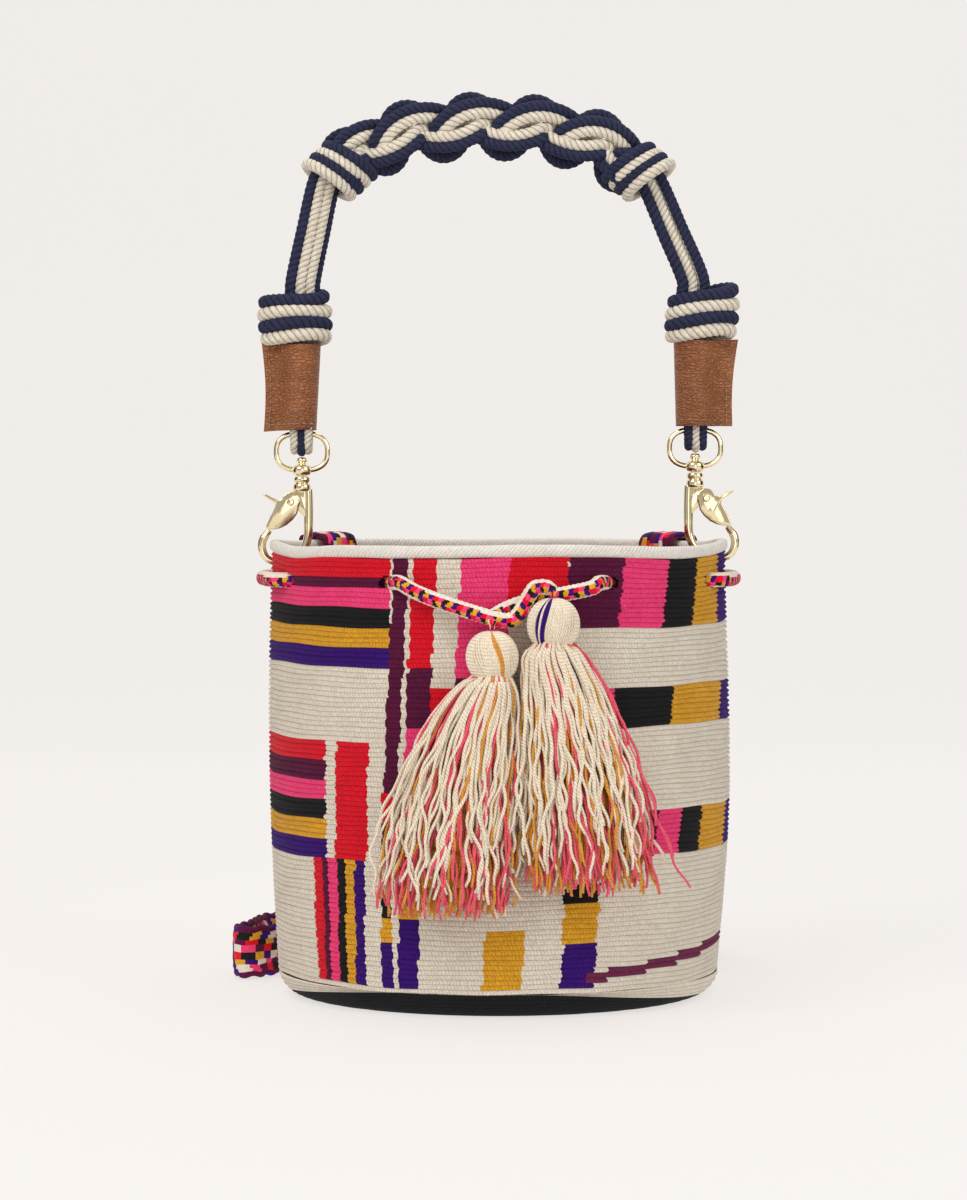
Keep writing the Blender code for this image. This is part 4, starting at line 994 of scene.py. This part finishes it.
def knottedStretch():
    # Four pairs of cords in round arcs, each one locked under the next
    base = arcPoints()
    run = lengths(base)
    total = run[-1]
    tangent = unit(np.gradient(base, axis=0))
    upward = np.stack([-tangent[:, 2], np.zeros(len(base)), tangent[:, 0]], axis=1)
    look = chainLook
    back = np.array([0, 1, 0])
    kernel = np.ones(9) / 9

    def at(s, columns):
        s = np.clip(s, 0, total)
        return np.stack([np.interp(s, run, column) for column in columns.T], axis=1)

    for number in range(4):
        flip = 1 if number < 2 else -1
        begin = 0.0145 + (0 if number < 2 else -look["arc"] / 2) + (number % 2) * look["arc"]
        phi = np.arange(-1.5 * math.pi, 2 * math.pi * total / look["arc"], 0.035)
        s = begin + look["arc"] * phi / math.pi + look["wide"] * np.sin(2 * phi) / 2 + look["overlap"] * np.sin(phi)
        inside = (s > 0.001) & (s < total - 0.001)
        first, last = np.argmax(inside), len(inside) - np.argmax(inside[::-1])
        phi, s = phi[first:last], s[first:last]
        height = look["middle"] + look["swing"] * np.cos(2 * phi) \
            + look["cross"] * np.sin(phi) * (1 if number < 2 else 0.3) + look["lift"] * (1 - np.cos(phi)) / 2
        fade = np.clip(np.minimum(s, total - s) / 0.007, 0, 1)
        height = flip * height * (0.5 + 0.5 * fade)
        depth = -look["depth"] * np.cos(phi + look["lead"] * flip)
        middle = at(s, base) + at(s, upward) * height[:, None] + back * depth[:, None]
        flat = unit(np.gradient(middle, axis=0) * [1, 0, 1])
        out = np.stack([-flat[:, 2], np.zeros(len(s)), flat[:, 0]], axis=1) * flip
        out = np.stack([np.convolve(np.pad(c, 4, mode="edge"), kernel, mode="valid") for c in out.T], axis=1)
        for colour, away in (("navy", 0.5), ("rope", -0.5)):
            layRope(colour, middle + out * away * look["apart"], ropeLook["pair"], phase=number * 1.3)
    a = circle(64)[:, None]
    tall, deep, lean, pitch = look["hitch"]
    for side, where in look["hitches"]:
        for colour, shift in (("navy", 0.0022), ("rope", -0.0022)):
            line = base[where] + upward[where] * (tall * np.cos(a)) + back * (-deep * np.sin(a)) \
                + tangent[where] * (-side * shift + side * lean * np.cos(a + 0.5))
            layRing(colour, line, ropeLook["pair"] * 1.05, line - base[where], pitch)


for side, sign in (("left", -1), ("right", 1)):
    loopCords(side, sign)
    leatherWrap(side, sign)
    wrappedKnot(side, sign)
    legCords(side, sign)
knottedStretch()
shown = {"navy": ["plait_strand_1", "plait_strand_3"], "rope": ["plait_strand_2"]}
for side in ("left", "right"):
    shown["navy"] += [f"{side}_{name}" for name in ("knot", "leg_cord_1", "leg_cord_4", "loop_cord_2")]
    shown["rope"] += [f"{side}_{name}" for name in ("leg_cord_2", "leg_cord_3", "loop_cord_1", "loop_cord_3")]
for name, colour, slotName in (("navyRopes", "navy", "navy_cord"), ("creamRopes", "rope", "cream_cord")):
    finishPiece(name, ropes[colour], [yarnMaterial(colour, "laid")], "handle", shown[colour])
print("handle knotted")


# Clasps: the rivet keeps its solid, and ring, post, hook and gate get their rounded forms

claspLook = {
    # radius and height below the ring's middle
    "post": [(0.0002, -0.0024), (0.0015, -0.0025), (0.0022, -0.0031), (0.0023, -0.0041), (0.0017, -0.0049), (0.0018, -0.0055),
             (0.0034, -0.0061), (0.0041, -0.0070), (0.0042, -0.0085), (0.0038, -0.0097), (0.0026, -0.0104), (0.0002, -0.0105)],
    "barrel": [(0.0002, -0.0108), (0.0029, -0.0109), (0.0035, -0.0114), (0.0036, -0.0126), (0.0031, -0.0132), (0.0030, -0.0138),
               (0.0037, -0.0144), (0.0039, -0.0154), (0.0038, -0.0166), (0.0030, -0.0173), (0.0002, -0.0174)],
    "spine": [(-0.0027, -0.0165), (-0.0029, -0.0220), (-0.0029, -0.0300), (-0.0025, -0.0380), (0.0003, -0.0440),
              (0.0073, -0.0478), (0.0115, -0.0485), (0.0156, -0.0468), (0.0175, -0.0431), (0.0173, -0.0388), (0.0143, -0.0344)],
    # shares of the spine's length and the wire's radius there
    "wire": ([0, 0.25, 0.45, 0.60, 0.70, 0.82, 0.93, 1.0], [0.0020, 0.0021, 0.0018, 0.0015, 0.0015, 0.0018, 0.0019, 0.0013]),
    "head": [(0.0049, -0.0249), (0.0066, -0.0243), (0.0076, -0.0222), (0.0066, -0.0201), (0.0049, -0.0190), (0.0036, -0.0172),
             (0.0030, -0.0160), (-0.0034, -0.0160), (-0.0044, -0.0185), (-0.0042, -0.0290), (-0.0012, -0.0290), (0.0016, -0.0256)],
    "gate": [(0.0016, -0.0241), (0.0010, -0.0222), (0.0010, -0.0206), (0.0020, -0.0188), (0.0036, -0.0178), (0.0052, -0.0176),
             (0.0068, -0.0182), (0.0080, -0.0192), (0.0090, -0.0208), (0.0102, -0.0214), (0.0160, -0.0184), (0.0167, -0.0186),
             (0.0168, -0.0194), (0.0116, -0.0228), (0.0115, -0.0238), (0.0126, -0.0262), (0.0140, -0.0288), (0.0152, -0.0316),
             (0.0158, -0.0332), (0.0145, -0.0340), (0.0124, -0.0342), (0.0096, -0.0336), (0.0068, -0.0322), (0.0041, -0.0299),
             (0.0022, -0.0272)],
    "web": [(0.0084, -0.0204), (0.0102, -0.0216), (0.0160, -0.0186), (0.0165, -0.0193), (0.0114, -0.0228), (0.0113, -0.0238),
            (0.0124, -0.0262), (0.0138, -0.0288), (0.0149, -0.0314), (0.0138, -0.0314), (0.0124, -0.0290), (0.0112, -0.0268),
            (0.0100, -0.0243), (0.0086, -0.0220)],
    "cheek": (0.0019, 0.0028), "plate": 0.0015, "edge": 0.0004,
    # the ring's half width and height at its wire's middle, the wire's radius, the corners' power
    "ring": (0.01127, 0.00809, 0.00118, 2.6),
}


def roundPlate(bundle, outline, near, far, edge, place):
    # A flat casting with softened edges between two depths; outline in the clasp's plane
    points = resample(np.array([*outline, outline[0]], float), 0.0004)[:-1]
    ahead, behind = np.roll(points, -1, axis=0), np.roll(points, 1, axis=0)
    way = unit(ahead - behind)
    inward = np.stack([-way[:, 1], way[:, 0]], axis=1)
    area = (points[:, 0] * ahead[:, 1] - ahead[:, 0] * points[:, 1]).sum()
    inward = inward if area > 0 else -inward
    steps = ((0, 1), (0.3, 0.3), (1, 0))                # shares of the edge: depth, inset
    slices = [(near + edge * deep, inset) for deep, inset in steps]
    slices += [(far - edge * deep, inset) for deep, inset in steps[::-1]]
    grid = np.array([place(points + inward * edge * inset, depth) for depth, inset in slices])
    if area * place(np.array([[1.0, 0.0]]), 0)[0][0] < 0:
        grid = grid[:, ::-1]
    addGrid(bundle, grid, caps=True)


def signedPower(values, power):
    return np.sign(values) * np.abs(values) ** power


def turnedPart(bundle, profile, centre):
    rings = curvePoints([(r, 0, w) for r, w in profile], 0.0003)
    angle = circle(36)
    grid = (centre.x + rings[:, :1] * np.cos(angle), centre.y + rings[:, :1] * np.sin(angle), centre.z + rings[:, 2:])
    addGrid(bundle, np.stack(np.broadcast_arrays(*grid), axis=-1)[:, ::-1], caps=True)


def clasp(side, sign):
    look = claspLook
    low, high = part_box(f"{side}_ring")
    centre = Vector((sign * ringX, 0, (low.z + high.z) / 2))
    front = [0.0, -1.0, 0.0]

    def place(flat, depth):
        return np.stack([centre.x + sign * flat[:, 0], np.full(len(flat), depth), centre.z + flat[:, 1]], axis=1)

    ring, post, hook, gate = (newBundle() for _ in range(4))
    turn = circle(96)
    wide, tall, wire, power = look["ring"]
    loop = np.stack([signedPower(np.cos(turn), 2 / power) * wide, signedPower(np.sin(turn), 2 / power) * tall], axis=1)
    loop = place(resample(np.vstack([loop, loop[:1]]), 0.0006)[:-1], 0.0)
    addSweep(ring, 0, loop, wire, 16, outward=np.broadcast_to(front, loop.shape), closed=True)
    turnedPart(post, look["post"], centre)
    turnedPart(hook, look["barrel"], centre)
    roundPlate(hook, look["head"], -look["plate"], look["plate"], look["edge"], place)
    route = curvePoints([(u, 0, w) for u, w in look["spine"]], 0.0005)
    route = place(route[:, [0, 2]], 0.0)
    radius = np.interp(np.linspace(0, 1, len(route)), *look["wire"])
    addSweep(hook, 0, route, radius, 20, outward=np.broadcast_to(front, route.shape))
    inner, outer = look["cheek"]
    roundPlate(gate, look["gate"], -outer, -inner, look["edge"], place)
    roundPlate(gate, look["gate"], inner, outer, look["edge"], place)
    roundPlate(gate, look["web"], -outer + 0.0001, outer - 0.0001, 0.0002, place)
    for name, bundle, body, node in (("Ring", ring, "rings", "ring"), ("Post", post, "rings", "swivel_post"),
                                     ("Hook", hook, f"{side}_hook", "hook"), ("Gate", gate, f"{side}_gate", "gate")):
        finishPiece(f"{side}Clasp{name}", bundle, [gold], body, [f"{side}_{node}"])
    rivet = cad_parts[f"{side}_rivet"].data
    rivet.materials.clear()
    rivet.materials.append(gold)
    rivet.shade_smooth()
    rivet.set_sharp_from_angle(angle=math.radians(50))


for side, sign in (("left", -1), ("right", 1)):
    clasp(side, sign)
print("clasps finished")


# Shoulder strap: a thick woven band of coloured chevrons

strapLook = {"width": 0.024, "thick": 0.005, "angle": 52, "cell": 0.0046, "columns": 8, "sides": 32, "slant": 1.1}
strapColours = ["plum", "pink", "cream", "violet", "mustard", "black", "red"]


def strapRoute():
    # Points with how far the band is turned to stand on its edge: over the rim, down, and to and fro behind the bag
    thick, angle = strapLook["thick"], strapLook["angle"]
    top = bag["height"] + thick * 0.3 + gap
    near = bag["rimRadius"] - bag["wall"] - thick / 2 - gap - 0.0014
    far = bag["rimRadius"] + 0.0008 + thick / 2 + gap + 0.0016
    edge = strapLook["width"] / 2 + gap
    height = bag["height"]
    inside = lacing["height"] + lacing["radius"] + lacing["clearance"] + 0.0024

    def fall(at):
        return [(*onBag(at, near, inside), 0), (*onBag(at, near - 0.0004, height - 0.001), 0),
                (*onBag(at, near + 0.0022, top), 0), (*onBag(at, far - 0.0022, top), 0),
                (*onBag(at, far + 0.0004, height - 0.002), 0), (*onBag(at, far + 0.001, height - 0.021), 0),
                (*onBag(at, far + 0.003, 0.62 * height), 0), (*onBag(at, far + 0.006, 0.39 * height), 0.1)]

    floor = [(-0.0870, 0.0780, 0.032, 0.7), (-0.0965, 0.0560, edge, 1), (-0.1060, 0.0400, edge, 1),
             (-0.1140, 0.0340, edge, 1), (-0.1180, 0.0430, edge, 1), (-0.1130, 0.0600, edge, 1),
             (-0.1060, 0.0900, edge, 1), (-0.0800, 0.1060, edge, 1), (-0.0300, 0.1140, edge, 1),
             (0.0300, 0.1180, edge, 1), (0.0640, 0.1260, edge, 1), (0.0760, 0.1440, edge, 1),
             (0.0600, 0.1600, edge, 1), (0.0200, 0.1600, edge, 1), (-0.0400, 0.1540, edge, 1),
             (-0.0800, 0.1640, edge, 1), (-0.0840, 0.1880, edge, 1), (-0.0400, 0.2020, edge, 1),
             (0.0300, 0.2040, edge, 1), (0.0780, 0.1900, edge, 1), (0.0960, 0.1560, edge, 1),
             (0.0980, 0.1200, 0.024, 0.9), (0.0940, 0.0930, 0.050, 0.5)]
    return curvePoints(fall(180 + angle) + floor + fall(180 - angle)[::-1], 0.00115)


def shoulderStrap():
    # Cells lie in slanting lines to both sides of the middle
    look = strapLook
    route = strapRoute()
    line, turnOn = route[:, :3].copy(), np.clip(route[:, 3:], 0, 1)
    tangent = unit(np.gradient(line, axis=0))
    outward = unit(line * [1, 1, 0])
    level = np.stack([-outward[:, 1], outward[:, 0], np.zeros(len(line))], axis=1) * np.where(line[:, :1] < 0, 1, -1)
    wide = level * (1 - turnOn) + np.array([0, 0, 1.0]) * turnOn
    wide = unit(wide - tangent * (wide * tangent).sum(axis=1, keepdims=True))
    face = np.cross(tangent, wide)
    half, thick = look["width"] / 2, look["thick"] / 2
    line[:, 2] = np.maximum(line[:, 2], gap + half * np.abs(wide[:, 2]) + thick * np.abs(face[:, 2]))
    run = lengths(line)
    cell, columns = look["cell"], look["columns"]
    turn = circle(look["sides"])
    across, off = signedPower(np.cos(turn), 0.75), signedPower(np.sin(turn), 0.65)
    slant = run[:, None] / cell + look["slant"] * np.abs(across)[None, :]
    puff = 1 - 0.16 * (np.abs(np.cos(np.pi * (across + 1) / 2 * columns))[None, :] ** 4) \
        - 0.14 * np.abs(np.cos(np.pi * slant)) ** 4
    thin = np.interp(line[:, 2], [0.186, 0.196], [1.0, 0.6])[:, None]
    grid = sections(line, half * across * (0.96 + 0.04 * np.sin(slant * np.pi)), wide, thick * thin * off * puff, face)
    middle = (across + np.roll(across, -1)) / 2
    column = np.clip(np.floor((middle + 1) / 2 * columns), 0, columns - 1).astype(int)
    right = column >= columns // 2
    fold = np.where(right, columns - 1 - column, column)[None, :]
    step = (run[:-1, None] + run[1:, None]) / 2 / cell + 0.5 + look["slant"] * np.abs(middle)[None, :]
    step = np.floor(step).astype(int)
    slots = np.where(fold == 0, np.where(step % 4 == 1, 3, 0), (step + 2 * fold + right * 3) % len(strapColours))
    bundle = newBundle()
    addGrid(bundle, grid, slots, caps=True, span=np.append(run, run[-1]))
    finishPiece("wovenStrap", bundle, [yarnMaterial(c, "plain") for c in strapColours], "bag",
                ["shoulder_strap"])


shoulderStrap()
print("strap woven")


# Studio: one pale sweep and soft lights; place, size, power and tint of each

studioLights = [
    ("keyLight", (-1.2, -1.5, 1.7), 1.4, 26, (1.0, 0.97, 0.94)), ("fillLight", (1.6, -1.3, 1.0), 1.3, 12, (0.96, 0.98, 1.0)),
    ("topLight", (0.0, 0.3, 2.2), 1.8, 16, (1.0, 0.99, 0.97)), ("frontLight", (0.25, -2.3, 0.35), 0.9, 3.2, (1.0, 0.98, 0.96)),
]


def studio():
    # The sweep glows a little, so that it comes out as even as the photograph's
    made, tree, shader = startMaterial("paleSweep")
    shade = mixColour(tree, noiseNode(tree, objectSpace(tree), 3, 2), (0.195, 0.19, 0.185), (0.205, 0.20, 0.195))
    feed(tree, shader, {"Base Color": shade, "Roughness": 0.9, "Emission Color": (0.985, 0.948, 0.922),
                        "Emission Strength": 0.69})
    bend = [(1.4 + 0.8 * math.sin(a), 0.8 - 0.8 * math.cos(a)) for a in np.linspace(0.1, math.pi / 2, 12)]
    line = np.array([(0, y, z) for y, z in [(-3.0, 0), (1.4, 0), *bend, (2.2, 3.2)]])
    bundle = newBundle()
    addGrid(bundle, np.stack([line + [-4, 0, 0], line + [4, 0, 0]], axis=1), around=False)
    finishPiece("sweep", bundle, [made], "stage")
    for name, x in (("leftCard", -0.62), ("rightCard", 0.62)):      # dark cards that the metal mirrors
        card, tree, shader = startMaterial(name)
        grain = noiseNode(tree, objectSpace(tree), 9, 2)
        feed(tree, shader, {"Base Color": mixColour(tree, grain, (0.010, 0.010, 0.011), (0.014, 0.014, 0.015))})
        data = bpy.data.meshes.new(name)
        corners = [(x, -0.10, 0.05), (x, 0.30, 0.05), (x, 0.30, 0.65), (x, -0.10, 0.65)]
        data.from_pydata(corners, [], [(0, 1, 2, 3)])
        data.materials.append(card)
        addObject(name, data)
    world = bpy.data.worlds.new("studio")
    world.use_nodes = True
    feed(world.node_tree, world.node_tree.nodes["Background"], {0: (1.0, 0.985, 0.97), 1: 0.46})
    bpy.context.scene.world = world
    for name, spot, size, power, tint in studioLights:
        lamp = bpy.data.lights.new(name, "AREA")
        lamp.size, lamp.energy, lamp.color = size, power, tint
        item = addObject(name, lamp)
        item.location = spot
        item.rotation_euler = (Vector((0, 0, 0.15)) - Vector(spot)).to_track_quat("-Z", "Y").to_euler()
    bpy.context.scene.view_settings.view_transform = "Standard"


studio()
print("studio lit")
